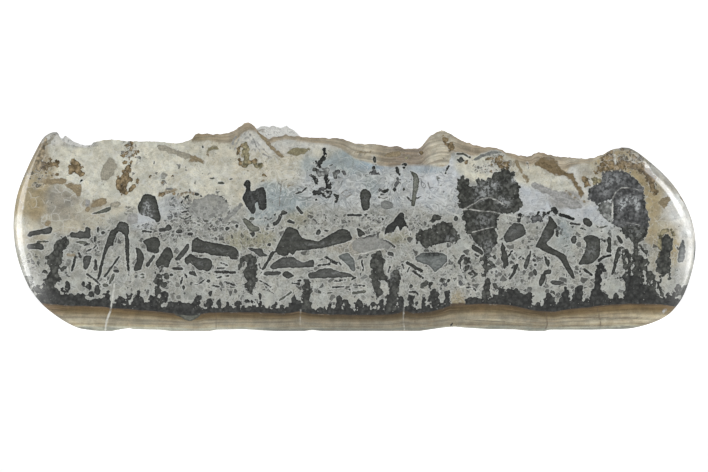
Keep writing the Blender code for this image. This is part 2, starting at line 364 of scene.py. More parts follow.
# %% Cross-sections
END_REACH, END_COLUMNS = 20.0, 44
MIDDLE_COLUMNS = 396
FACE_ROWS, CRUST_ROWS, BACK_ROWS, BASE_ROWS = 126, 30, 40, 9
ROUND_STEPS = np.array((0.0, 0.03, 0.11, 0.25, 0.45, 0.7, 1.0))


def column_places():
    """x of every cross-section, an odd number of them."""
    left, right = left_curve[left_tip, 0], right_curve[right_tip, 0]
    closing = END_REACH * ((np.arange(END_COLUMNS) + 0.3) / END_COLUMNS) ** 2
    even = np.linspace(left + END_REACH, right - END_REACH, MIDDLE_COLUMNS + 1)
    return np.concatenate([left + closing, even, (right - closing)[::-1]])


def face_and_crust(x):
    """Places of the finer rows: x, y, z arrays with a row for each step up and a column for each x."""
    low, high = lowest(x), highest(x)
    chip = 0.35 * sampled(x, x * 0, 2.3, 7.7, lambda p: abs(noise.noise(p)))
    high = high - 2 * chip * eased(x, -120, -115) * eased(-x, -110, -104)
    rounded = np.minimum(RIM_ROUND, 0.2 * (high - low))
    up_round = low + rounded * ROUND_STEPS[:, None]
    spread = np.arange(1, FACE_ROWS + 1)[:, None] / FACE_ROWS
    z = np.vstack([up_round, low + rounded + (high - low - rounded) * spread])
    across = np.broadcast_to(x, z.shape)
    y = face_y(across, z)
    front, broken = y[-1], THICKNESS / 2 - BACK_EDGE_ROUND
    over = (np.arange(1, CRUST_ROWS + 1)[:, None] / CRUST_ROWS) ** 1.15 * (broken - front)
    top, crease = crust_z(np.broadcast_to(x, over.shape), over)
    top = top - (highest(x) - high) * (1 - eased(over, 0, 2.5))
    y = np.vstack([y, front + over])
    crease = np.vstack([np.zeros(z.shape), crease])
    z = np.vstack([z, top])
    return np.broadcast_to(x, z.shape), y, z, crease


def back_and_base(x, top):
    """Places of the coarser rows, down the back from the crust's back edge and home."""
    low, high = lowest(x), highest(x)
    edge = np.minimum(BACK_EDGE_ROUND, 0.3 * (top - low))
    steps = np.arange(BACK_ROWS)[:, None] / (BACK_ROWS - 1)
    z = (top - edge) + (low + edge - (top - edge)) * steps
    across = np.broadcast_to(x, z.shape)
    y = back_y(across, np.minimum(z, high - edge))
    home = np.arange(BASE_ROWS)[:, None] / BASE_ROWS
    start = THICKNESS / 2 - BACK_EDGE_ROUND
    under = start + (face_y(x, low) - start) * home
    y = np.vstack([y, under])
    z = np.vstack([z, np.broadcast_to(low, under.shape)])
    return np.broadcast_to(x, z.shape), y, z


fine_x = column_places()
coarse_x = fine_x[::2]
fine_skin = face_and_crust(fine_x)
coarse_skin = back_and_base(coarse_x, fine_skin[2][-1, ::2])
FACE_END = len(ROUND_STEPS) + FACE_ROWS  # rows up to here are the polished face
print("finer rows", fine_skin[0].shape, "coarser rows", coarse_skin[0].shape)

# %% Join the skin
FACE, CRUST, BACK, BASE = range(4)  # the regions of the skin


def skin():
    """Faces of the closed skin, and the region of each."""
    fine_rows, fine_count = fine_skin[0].shape
    coarse_rows, coarse_count = coarse_skin[0].shape
    first = fine_rows * fine_count

    def at(row, column):
        return row * fine_count + column

    def behind(row, column):
        return first + row * coarse_count + column

    faces, regions = [], []
    for r in range(fine_rows - 1):
        kind = FACE if r < FACE_END - 1 else CRUST
        for c in range(fine_count - 1):
            faces.append((at(r, c), at(r, c + 1), at(r + 1, c + 1), at(r + 1, c)))
            regions.append(kind)
    for j in range(coarse_count - 1):
        c = 2 * j
        top = fine_rows - 1
        faces.append((at(top, c), at(top, c + 1), at(top, c + 2), behind(0, j + 1), behind(0, j)))
        regions.append(CRUST)
    for r in range(coarse_rows - 1):
        kind = BACK if r < BACK_ROWS - 1 else BASE
        for c in range(coarse_count - 1):
            faces.append((behind(r, c), behind(r, c + 1), behind(r + 1, c + 1), behind(r + 1, c)))
            regions.append(kind)
    for j in range(coarse_count - 1):
        c = 2 * j
        last = coarse_rows - 1
        faces.append((behind(last, j), behind(last, j + 1), at(0, c + 2), at(0, c + 1), at(0, c)))
        regions.append(BASE)
    for column, other in ((0, 0), (fine_count - 1, coarse_count - 1)):
        tip = [at(r, column) for r in range(fine_rows)] + [behind(r, other) for r in range(coarse_rows)]
        faces.append(tip[::-1] if column == 0 else tip)
        regions.append(FACE)
    return faces, regions


faces, regions = skin()
places = [np.concatenate([fine_skin[i].ravel(), coarse_skin[i].ravel()]) for i in range(3)]
crease = np.concatenate([fine_skin[3].ravel(), np.zeros(coarse_skin[0].size)])
places[2] = np.minimum(places[2], solid_high.z / MM)
mesh = bpy.data.meshes.new("stromatolite_stone")
mesh.from_pydata(np.column_stack(places) * MM, [], faces)
mesh.update()
triangles = sum(len(face) - 2 for face in faces)
print(len(faces), "faces,", triangles, "triangles")

# %% [markdown]
# ## Where the figure is read
#
# The growths stood up through the whole block, so the same figure shows on the face, leans and
# wanders a few millimetres on its way to the back, and runs round the polished ends. Each point
# of the skin therefore gets a place on the figure: its own x and z, shifted by slow noise the
# deeper it lies. At the ends the place also slides inwards with depth, or the figure would be
# drawn out into stripes there.

# %% Places on the figure
WANDER_SIZE, WANDER = 26.0, (7.0, 3.0)  # how far the figure leans by the back, in mm
END_SLIDE = 0.8  # share of the depth that the figure slides inwards at the ends
WANDER_SEED = 20  # sets which way the figure leans, the same on each run


def figure_places(x, y, z):
    noise.seed_set(WANDER_SEED)
    depth = np.clip((y - FACE_Y) / THICKNESS, 0, 1)
    slow = [Vector((a, b, c)) for a, b, c in zip(x / WANDER_SIZE, 1.3 * depth, z / WANDER_SIZE)]
    shift = np.array([noise.noise_vector(p) for p in slow])
    deep = eased(depth, 0.25, 1.0)
    outer = eased(np.abs(x), 118, 134)
    u = x + WANDER[0] * shift[:, 0] * deep - np.sign(x) * END_SLIDE * (y - FACE_Y) * outer
    v = z + WANDER[1] * shift[:, 2] * deep * eased(z, 8, 20)
    return u, v


u, v = figure_places(*places)
print("figure spans", u.min().round(1), "to", u.max().round(1))

# %% [markdown]
# ## The growths and the chips
#
# Two kinds of thing stand in the pale mud. Growths are microbial: ragged and lobed, and dark with
# pyrite and clay. Chips are pieces of older beds that storms broke off: smooth-edged, often with
# a dark skin and a pale halo. Each is given as an outline, a stroke with a half width, or
# an oval, and is filed under the tone that its middle has. Outlines are smoothed into curves.

# %% Tones of the stone
TONES = {  # colours as the eye sees them, 0 to 255
    "soot": (44, 45, 43), "charcoal": (60, 61, 57), "dusk": (70, 71, 68), "slate": (80, 81, 81),
    "ash": (96, 98, 89), "steel": (97, 101, 99), "fog": (116, 118, 115), "umber": (112, 98, 74),
    "olive": (120, 114, 90), "bistre": (130, 118, 95), "taupe": (142, 138, 124),
    "haze": (125, 126, 122), "pearl": (140, 140, 137),
}


def linear(tone):
    """An eye colour as the light that Blender works in."""
    share = np.array(tone, float) / 255
    return np.where(share <= 0.04045, share / 12.92, ((share + 0.055) / 1.055) ** 2.4)


print(len(TONES), "tones, the darkest", linear(TONES["soot"]).round(3))

# %% [markdown]
# ### How the shapes are written
#
# Every shape is a list of numbers in millimetres. An outline is x,z pairs. A stroke is x,z pairs
# and then its half width. An oval is its centre, its half width and half height, and sometimes a
# turn in degrees. Where two shapes lie over each other, a point belongs to the one it is deeper in.

# %% Growths of soot tone
def tell(library):
    print(sum(len(shapes) for shapes in library.values()), "shapes so far")


GROWTHS = {}
GROWTHS["soot", "outlines"] = [
    # left tree and the bushes at its foot
    [-126.2,12.5, -124.6,16.5, -124.8,18.5, -123.8,20.5, -123.2,17.5, -118.6,16.6, -116.3,15.2, -113,15.1,
     -111.4,14.6, -110.4,15.6, -109.4,15, -108.3,16.8, -107.8,14.2, -106.6,13, -101.2,13.4, -100,14.3,
     -98.8,16.2, -97.9,15.2, -97.7,11.6, -98.5,9.8, -112,10, -123,11],
    [-89.6,8.8, -89.2,12, -88.4,13.4, -87.4,13.9, -86.3,16.3, -85.3,15.4, -84.3,12.8, -81.8,10.4,
     -81.5,8.5],
    [-75.8,8, -75,10, -73.5,11.7, -71.9,12, -70.7,12.9, -68.2,11.6, -64.6,11.8, -63.5,12.6, -61.8,12,
     -61.9,9.5, -61.4,7.2, -69,6.9],
    [-26.1,8, -25.6,11.5, -24.9,13.6, -24.1,14.7, -23.2,13.8, -22.3,12.2, -21.2,12, -21.2,8],
    [18.6,66.8, 19.3,67.3, 19.6,68.1, 20.1,67.3, 20.8,67, 20.2,66.3, 19.2,66.1],
    # the mass of bushes at the foot of the big tree
    [52.7,10.6, 53.3,13, 56,14.5, 57,14, 58,16.8, 59.5,16.6, 60.5,15.6, 61,16.6, 64,17.2, 67.4,14.6,
     69.5,16, 71,15.8, 71.7,14.5, 71.2,10, 70.4,8.4, 63,10.2],
    [75.3,8, 75.8,13.6, 76.6,15, 77.5,15.6, 78.5,15, 80,12, 80,8],
    [81.4,8.3, 82.4,14.3, 83.1,15, 83.5,16.9, 84.3,17.5, 85.2,16.6, 86.6,12.5, 88.8,18.2, 90,18.8,
     91.2,17.6, 91.3,12.4, 92.2,14, 93.2,13.6, 94.6,9.6],
    # under the right-hand dome
    [94,13.4, 94.2,15.5, 96.2,20, 95.8,22, 96.6,26, 97.8,27, 99.5,27, 100.3,25.8, 100.2,24.2, 99,23,
     98.7,21.5, 99.2,20, 98.9,17.5, 99.3,15.5, 101,14.4, 101.4,13, 103,13.5, 104,15.7, 105.2,15.4, 106,13.8,
     107,13.6, 107.6,10.6, 94,9.6],
    [107,10.8, 107.2,14, 108,17, 107.6,19.6, 106.3,20.9, 107.2,22, 108.6,22.2, 109.4,24, 110.6,22.6, 112,22,
     113.4,23, 117.6,17, 119,17.2, 120.2,16.6, 120.9,14.8, 122.2,13.2, 124,13.6, 125,14.8, 129.6,12.6,
     129,9.6, 125,10.4],
    [44,11.6, 45,13.2, 47,13.7, 49,13.3, 50.4,12.4, 51.6,10.9, 45.5,10.8],
]
GROWTHS["soot", "strokes"] = [
    [-11.6,72.8, -12.2,69.6, 0.9], [-13.2,68.3, -14.5,66, 1], [-15.9,61.3, -15.3,59, 0.7],
    [-16.8,59, -15.9,58.1, -17.6,56.8, 0.5], [-16.1,55.6, -14.4,54.9, 0.9], [-14,54.8, -12.3,55.2, 0.5],
    [-11.3,62.3, -11,57, 0.75], [-12.5,54.5, -12,53.7, 0.35], [-9.4,54.2, -11.4,53.3, 0.35],
    [-11.2,56, -10.7,55, 0.5], [-10.2,58, -9.2,59.2, 0.4], [-9.8,57.6, -8.9,55.5, 0.45],
    [-8,54.7, -6.9,53.8, -6.9,52, 0.6], [17,64.8, 17.7,62.5, 0.6], [10.3,55.2, 12.5,55, 0.5],
    [65.7,46.5, 65.9,44.2, 0.9], [72,46.8, 74.5,46.9, 0.5], [75.7,46.8, 77.5,47.2, 0.7],
]
GROWTHS["soot", "ovals"] = [
    [-114.5,17.4, 1.3,2.5], [-116.6,16.4, 0.8,1.3], [-105.6,17.9, 1.5,1.7], [-102.6,16.3, 1.3,2.2],
    [-105,14.8, 1.4,1.5], [-108.1,18.8, 0.5,1], [-76,13.8, 1.9,2.5], [-80.3,12.6, 1.3,2.2],
    [-42.2,12.1, 1.6,0.9], [80.1,48.2, 1.7,1.5], [7.7,65.6, 1,0.9], [-7.4,61.4, 0.8,0.7],
    [16,56.4, 0.8,0.8], [13.4,58.9, 0.5,0.5], [36.9,13.4, 1.6,2.8], [-15.2,67.3, 0.8,0.6],
    [-17.4,62.2, 0.9,0.7],
]
tell(GROWTHS)

# %% Growths of charcoal tone
GROWTHS["charcoal", "outlines"] = [
    # hanging column
    [-46.1,29, -45,30, -43,30.7, -41.3,30.7, -39.8,29.9, -38.9,28.3, -38.9,20.5, -40,17, -42,14.8, -44.3,18,
     -44.2,19.3, -43.4,20, -44.6,23, -43.8,24.2, -43.2,27, -43.8,27.7, -44.5,27.2, -46,23.2, -46.9,23,
     -46,26.5],
    # middle pair of columns
    [5.8,26.3, 6.5,29.3, 7.5,31, 9,32, 10.5,31.8, 11.6,30.4, 12.1,28.3, 11.7,22.6, 13,22.7, 14,21.6,
     14.8,23.6, 16.5,24.9, 18,24.5, 18.8,21, 17,13, 17,7.5, 12.2,7, 12.3,12, 13.2,16.5, 12.8,19.5,
     10.9,20.4, 10.2,19.8, 10.5,18, 11.2,17, 11,15, 10.3,13.5, 9.3,13, 8.3,13.4, 6.4,21.5, 7,23, 6.7,25],
    [-20.6,8, -21.3,11, -20.3,19.6, -19.1,20.4, -17.7,20.3, -16.9,18.9, -16.8,17, -17.7,12.5, -17.1,11.5,
     -17.1,8],
    [29.5,43.2, 30.3,44.8, 31.5,46.5, 33,46.8, 34.3,45.5, 34.6,44.7, 33.5,43.8, 31.5,43.3],
    # the green-black mass beside the arch
    [24,36, 24.2,38, 25.5,39.8, 27.5,40.8, 30,41, 33.5,43.3, 36,43.9, 38.5,43.2, 42,37.8, 41.5,36,
     39.5,35.3, 33.5,34.8, 32.5,34, 29.5,33.6, 28.3,33, 25.5,35, 24.5,34.6],
    [26.3,17.5, 26.8,18.8, 28.5,20.1, 30.5,20, 31.4,18.8, 30.8,17.4, 28.3,18.3, 27.2,17.3],
    # the big tree
    [43,48, 41.7,50, 41.2,55, 40.9,59.5, 41.8,61, 43.3,61.9, 44.3,60, 44.8,60.9, 46,60.8, 46.3,58,
     47.5,57.8, 48.6,58.6, 48.8,60.5, 52.3,60.2, 53.3,61, 54.5,61.2, 54,62.2, 55,62.7, 54.9,63.5, 56.6,63.5,
     58.5,64.2, 59,65.2, 60.7,64.7, 62.2,65, 62.3,64.3, 64,64, 64.3,62, 63.8,60.8, 66.3,58.5, 66.5,57.4,
     65.8,56.3, 65.6,54.7, 67.1,52, 67,50.3, 65,47.5, 58.4,46.4, 57,41.4, 56.2,40.6, 57.3,36, 56.7,34.3,
     53.8,29.8, 53.3,27.5, 53.2,21.5, 54.2,20.2, 54.3,18.5, 53.5,10.9, 51.3,10.9, 50.7,12.5, 51.3,19,
     52,20.8, 51.2,27, 51.2,31.8, 46.6,37, 46.2,38.6, 45.2,39, 44.3,40.5, 44.2,42, 42.9,45],
    # chains beside the big tree
    [43.7,27.2, 44.1,29.3, 45,30.3, 46,29, 46.2,27.5, 45.6,26.8, 44.5,26.9],
    [43.8,26.3, 44.2,24.3, 45.1,23.8, 46.1,25, 46,26.2, 44.8,26.6],
    # the mushroom and its trunk
    [106,41, 107.5,42.3, 109.5,43.2, 112,43.5, 114.5,42.7, 116.2,43.3, 117.4,39.5, 116.8,38, 115,36.8,
     114.3,35.5, 113.3,34.8, 113.3,31, 114.3,25, 113.8,21, 110.8,21, 111.3,26, 110.6,29, 111.4,32, 110.8,35,
     109.8,36.5, 108.5,37, 107.3,38.5],
    # right-hand tree
    [122.5,33.5, 121.2,31.5, 120.3,24, 121.5,23.6, 122.8,22, 124,21.8, 125,23.5, 126.2,22.6, 126,28,
     127.2,34, 127.2,36.5, 126,38.2, 124.5,38.7, 123,38, 122.4,36],
    [116.4,21.5, 117.3,23.5, 118.5,24.2, 119.5,22.5, 119,20.5, 117.5,20.3],
]
GROWTHS["charcoal", "strokes"] = [
    [-70.6,50, -68.7,52.4, 0.4], [-67.6,53.2, -66,54.6, -63.7,55.2, -61.7,54.2, 0.4],
    [-122.6,12, -122.2,17, 2.6], [-122,17, -121,21, -120,24, 2.1], [-119.8,26.5, -119,31, 2.3],
    [-118.6,31.5, -117,34.5, 2.3], [-122.3,29.5, -121.5,27, 1], [-124,24.3, -122.4,23.5, 0.7],
    [-117.8,21, -118.8,20.5, 1], [-116.1,25.6, -117,24.3, 0.7], [-117.3,28.8, -117.7,27, 0.8],
    [-115.5,37.2, -115.1,35.8, 1.4], [-126.5,17.6, -125.3,13, 0.8], [-77.3,24, -77.2,25.6, 0.5],
    [-79.3,14.8, -79.2,12, 0.9], [-78.2,12.5, -78,9, 1.2], [-41,14.3, -39.7,15, 0.45],
    [-40,13.5, -39,12.4, 0.35], [54.5,29.7, 56,29.3, 0.6], [54,27.3, 56,25.9, 0.8],
    [51.5,29.5, 50,27.8, 51,26.3, 0.55], [50,23.8, 51.2,22.2, 0.5], [47,24.3, 48.5,22.8, 0.5],
    [45.3,23, 46.5,22.8, 47,22.4, 0.3], [46.7,21, 47.5,21.8, 0.35], [55,17.2, 55.7,18.8, 56.5,17.2, 0.55],
    [57.6,17, 58.6,16.4, 0.5], [59.2,17.9, 60.3,18.4, 0.4], [79.3,15.6, 80.6,13.6, 0.5],
    [108.3,32.3, 109.8,29, 109.5,25, 110.3,22, 1], [113.6,34.3, 115.2,33.2, 115.2,31.3, 0.45],
    [115,29.4, 115.5,26.2, 1], [107.2,31, 107.8,27, 109,21, 0.7], [116.4,31.5, 116.9,27, 116.6,22, 0.7],
    [113.6,29, 114.6,24, 115.6,19, 0.8], [118.2,23.5, 119.6,20, 120,16, 0.9],
    [117.2,20, 118.4,17, 118.9,14, 0.9], [122,22, 121.5,18, 122.6,14.5, 0.7], [107.6,26, 108.4,24.6, 0.35],
    [121.6,19, 121.8,16, 0.4], [120.2,15, 121.2,14, 0.7], [99.8,46.3, 101.7,44.2, 0.8],
    [-14.6,16.6, -13.7,15.3, 0.4], [7.6,69.2, 8.5,67, 0.9],
]
GROWTHS["charcoal", "ovals"] = [
    [-78.7,16.5, 1.5,1.7], [-78.3,19.6, 1.9,1.6], [-76.2,18.8, 1.2,1.5], [-77.7,22.3, 1.5,1.4],
    [-75.1,22, 1.1,1.6], [-79.2,24, 0.5,0.9], [-128.6,18.7, 1.1,1.2], [-31.8,46.7, 0.8,0.8],
    [-28.3,47.2, 1.4,1,20], [-15.4,64.4, 1.4,0.9], [12.9,56.1, 1.3,1], [19.7,56.8, 0.6,0.8],
    [22.9,18.2, 0.8,1], [54.6,23.5, 0.6,0.5], [44.3,21.7, 0.6,1], [54.3,25, 0.7,0.5], [119.4,19, 0.8,0.8],
    [126,21.2, 0.6,0.5], [117.8,15.8, 1.1,1.5], [34.9,20.7, 1.1,0.7], [37.6,20.2, 0.7,0.9],
    [34.7,17.1, 1.1,0.7], [42.3,68.2, 1.6,1], [129.4,16.4, 1.7,2.2], [127.4,14.6, 1.2,1.6],
    [94.2,55.8, 1.5,1.3], [95.8,52.8, 1.2,0.8], [97.6,50.2, 1.1,0.9], [98.6,48.9, 0.6,0.7],
]
tell(GROWTHS)

# %% Paler and browner growths
GROWTHS["slate", "outlines"] = [
    [6.5,64, 7.5,64.2, 9.2,63.9, 9.5,62.6, 8.8,62.1, 7.5,62.6, 6.5,63],
    # the right-hand dome
    [93.1,54, 94.3,57.2, 98.4,60, 98.9,63.2, 101.6,64.1, 105.3,64.4, 109.4,63.2, 113.1,60.5, 115.4,56.8,
     116.3,51.7, 117,41, 105.6,41.4, 103.2,43.4, 102.8,51.4, 100,51.6, 97.5,50.4, 95.5,51.4],
]
GROWTHS["slate", "strokes"] = [
    [41.3,61.8, 42.6,62.6, 0.3], [-7.6,63.4, -5.2,64.3, -4,63, 0.75], [17.4,61.8, 17.2,59, 0.6],
    [16.2,58.1, 17.2,57.8, 17.8,58.4, 0.3],
]
GROWTHS["slate", "ovals"] = [
    [-13.4,57, 1.4,1.1], [36,18.7, 1.1,1], [42.4,19.2, 1,0.9], [72.7,44.8, 2.4,1.7], [-53.5,44.6, 0.8,0.6],
    [124.7,35.9, 1.3,2.1], [10.1,56.5, 0.5,0.5],
]
GROWTHS["fog", "outlines"] = [
    [97.6,50.6, 99.5,51.4, 103,51.2, 103,46.4, 102.6,43.4, 99.6,44.6, 97.2,48.4],
]
GROWTHS["fog", "ovals"] = [
    [-13.5,63.1, 1.8,1.2], [-11.4,64, 1.6,1.4], [-7.7,62.6, 1.4,1.3], [33.4,60.8, 0.8,0.8],
]
GROWTHS["bistre", "outlines"] = [
    [-127.6,65, -125.6,73, -124,76, -122.6,77, -124.6,67, -125.6,64.4],
]
GROWTHS["umber", "outlines"] = [
    [-113.8,66.5, -113.2,68.2, -111.5,68.9, -108.8,66.2, -109.3,64.6, -107.3,63.5, -109.2,61.7, -112,63.3,
     -113.2,62.3, -114.2,62.6],
    [-89.2,67.6, -88.6,66.6, -89.8,62.6, -88.3,61, -88.2,59.9, -90.8,58.4, -90.8,54.9, -92.6,54.3,
     -93.8,54.9, -95.6,59, -94.7,61.4, -93.2,62.2, -92,64.8],
    [-87.7,58.8, -90,57.8, -90.8,56.3, -90,55.5, -88.2,56.3, -87.1,57.5],
    [-78,54.8, -77.2,55.8, -76.3,56.1, -73,55, -71.2,55.6, -71,56.3, -71.6,54.9, -73,54.2, -77.5,54],
    [56.3,69.5, 59,68, 60.5,68.3, 63,67.5, 61.5,66.8, 62.3,65.5, 61.5,64.3, 59,65.3, 57.5,65, 56.6,65.5,
     56.3,66.7, 54.5,66.2, 54.5,67, 55.8,67.8],
    # the brown cap of the dome
    [98,63.8, 98.3,68.3, 99.7,70.3, 102.6,71.9, 103.2,70.8, 103.4,68.6, 104.6,67.4, 105.4,68.2, 108.2,68.3,
     113,67.2, 114.6,68.6, 116.3,65.9, 118,64.9, 119.9,62, 120.3,60.4, 119.6,58.8, 121.2,55.2, 119.6,54.4,
     116.2,60.8, 114.4,62.8, 111.6,64.4, 108,65],
    [104.9,69.2, 105.2,70.3, 106.4,70.9, 107.7,70.6, 107.9,69.4, 107,68.9, 105.8,68.8],
    [110.6,68.6, 110.8,70, 111.6,70.8, 112.8,70, 113.4,69, 112.2,68.4],
    [91,60.3, 91.2,61.3, 92.3,61.8, 93.5,61.3, 94,60.2, 93.8,58.5, 92.7,57, 91.7,57.8],
    [95.7,63, 96.2,64.1, 97.3,63.7, 97.6,62.8, 96.5,62.3],
    [37.3,74.2, 37.8,75.6, 38.6,76.2, 39.6,74.6, 39.8,73.4, 39,72.2, 37.8,72],
    [35.2,77.5, 36.5,77.6, 37.2,76, 36.3,74.6, 35.2,75.5],
]
GROWTHS["umber", "strokes"] = [
    [-89,75.2, -89.1,72.2, 0.6], [-93.3,70.2, -92.2,69.7, 0.45], [-90.3,69.2, -88.5,70.2, 0.3],
    [-46.5,73, -44.8,74.2, 0.55], [-46,69, -45.7,66.2, 0.65], [-42.3,67.3, -39.4,68.5, 0.65],
    [-81.9,61.9, -80.5,62.4, 0.4], [-72.5,62, -71.5,62, -71.5,61.4, 0.35], [40.3,65.5, 41.5,66.1, 0.45],
    [44.5,66.5, 46,66.8, 0.4], [52.5,68.3, 55,69, 0.4], [-36.2,62.7, -35.2,61.8, 0.35],
    [105,72.3, 107.7,72.9, 0.4], [110,71.5, 111,70.9, 0.3], [67.3,60.2, 68.3,59, 0.25],
    [52.6,64.4, 54.6,63.6, 0.6], [-43.9,74.5, -42.8,74.3, 0.5],
]
GROWTHS["umber", "ovals"] = [
    [-91.3,74.3, 1.3,1], [-91,71.5, 1.2,0.9], [-91.7,67.5, 0.8,0.8], [-86.9,71, 0.8,1],
    [-118.8,67.5, 1,1.8], [-121.5,67, 1.1,1.9], [-124,66.5, 1.3,2.4], [-46.5,71.3, 0.7,0.9],
    [-43.3,65.8, 1.2,0.7], [-87.3,69.4, 0.8,0.5], [44.7,67.8, 0.4,0.7], [58.3,69.8, 1.2,0.8],
    [38.5,73.4, 1,1], [-86.7,60.2, 0.4,0.7], [26.3,71.4, 0.9,1.2], [-123.2,63.4, 0.7,0.5],
    [-118.6,62.7, 0.8,0.6], [-121,62.4, 0.6,0.4],
]
GROWTHS["olive", "outlines"] = [
    [-44.8,74.5, -43,74.9, -42.2,73, -42.2,65.2, -44,65.2, -44.6,67],
    [94,61.2, 96,61.2, 98,60.6, 98.7,59.8, 98,58.9, 96,58.6, 94.8,59.5],
]
GROWTHS["olive", "strokes"] = [
    [121.6,30, 121.9,34, 122.1,38, 123.4,40.4, 126.2,40.4, 127.2,38.2, 0.9], [-42.2,67.2, -39,66.4, 0.6],
]
GROWTHS["olive", "ovals"] = [
    [-37.9,66.2, 1.3,1.4], [21.2,69.3, 0.6,0.6],
]
tell(GROWTHS)

# %% Bushes along the top of the brown bed
BUSHES = [  # place, top and half width of each
    -95,13.6,0.8, -93.6,14.2,1.1, -92.2,13.2,0.7, -90.8,14.9,0.5, -89.1,15,0.5, -80.9,14.7,1.1,
    -79.2,15,0.8, -62.5,14.8,1.1, -59.8,11,0.7, -57.9,13,1.2, -57.4,15.9,0.8, -54,13,0.8, -50.6,12.3,0.8,
    -49,11,0.5, -46.6,12.3,1.1, -44.2,10.3,1, -42,10.2,1, -40,10.4,0.9, -37.7,14.8,0.75, -34.2,11.3,0.4,
    -32.4,10.6,0.9, -31,11.6,0.5, -29,10.7,0.9, -27.2,10.2,0.8, -14.8,10.4,0.7, -13,9.8,0.8, -11.6,9.7,0.7,
    -9.8,11.4,1, -7.2,12,0.8, -6.1,14.3,1.3, -2.9,12.9,1.2, 0.6,12.4,0.9, 1.7,13.1,1.1, 2.8,12.4,0.8,
    4.4,11.7,0.7, 6,11,0.7, 7.2,11.7,0.9, 9,11.2,0.8, 10.9,12.7,1, 18.5,14.2,1.3, 22.7,14.6,1.1, 25,12,0.4,
    27.3,14.6,0.9, 30,14.2,0.8, 31.6,17.2,1.2, 32.6,16,1.3, 34.2,11.5,0.8, 73.9,12,0.8, 72.2,9.6,0.6,
]
print(len(BUSHES) // 3, "bushes")

# %% Chips of soot and charcoal tone
CHIPS = {}
CHIPS["soot", "outlines"] = [
    # the arch
    [11.8,38, 12.4,41.2, 13.5,42.5, 15.2,43.7, 17.3,46.5, 18.7,47.6, 20,46.5, 19.9,44.8, 22.4,39.5, 22.3,38,
     21.8,40, 20.9,41.3, 19.8,41.8, 18.2,39.6, 17.5,41.7, 16.8,41.6, 15.9,40, 14.7,39.2, 12.8,39.2],
    # the animal-shaped growth
    [-43.9,59.5, -42.9,60.4, -41.8,59.8, -41.4,58, -41.6,56.2, -40.5,56, -37.3,57.6, -36,57, -35.4,55,
     -35,49.8, -35.8,48.5, -37,48.1, -38.3,49, -38.5,51, -39,51.6, -39.7,50.5, -39.5,48.5, -40,47, -41,46.8,
     -42,48, -43.5,50.3, -44.7,53, -43.5,56.3, -43.4,57.5, -44.2,58],
]
CHIPS["soot", "strokes"] = [
    [3,28.3, 3.4,24.4, 0.4], [-0.3,18.4, 4,18.1, 0.35], [-22.6,20.1, -21.6,20.2, 0.45],
    [97.5,28.2, 99.5,29.6, 102,30.2, 0.6], [61.7,30.2, 62.8,32, 0.45], [71.6,30.2, 72.2,29.7, 0.4],
    [82,46.6, 85,45.6, 87.3,44.8, 0.7], [-68.2,23.4, -67,21.7, 0.35], [-3.5,20.5, -8,20.1, 0.35],
    [-8.8,17.5, -4,17.8, 0.35], [38.5,2.3, 39.2,3.3, 0.3], [40.3,3.3, 40.6,2.6, 0.3],
]
CHIPS["soot", "ovals"] = [
    [2.3,22.7, 0.35,0.6], [-109,60.2, 0.8,0.4,40], [-80.1,67.2, 0.4,0.8], [19.8,65.4, 0.7,0.4],
    [-15.3,52.5, 0.6,0.4],
]
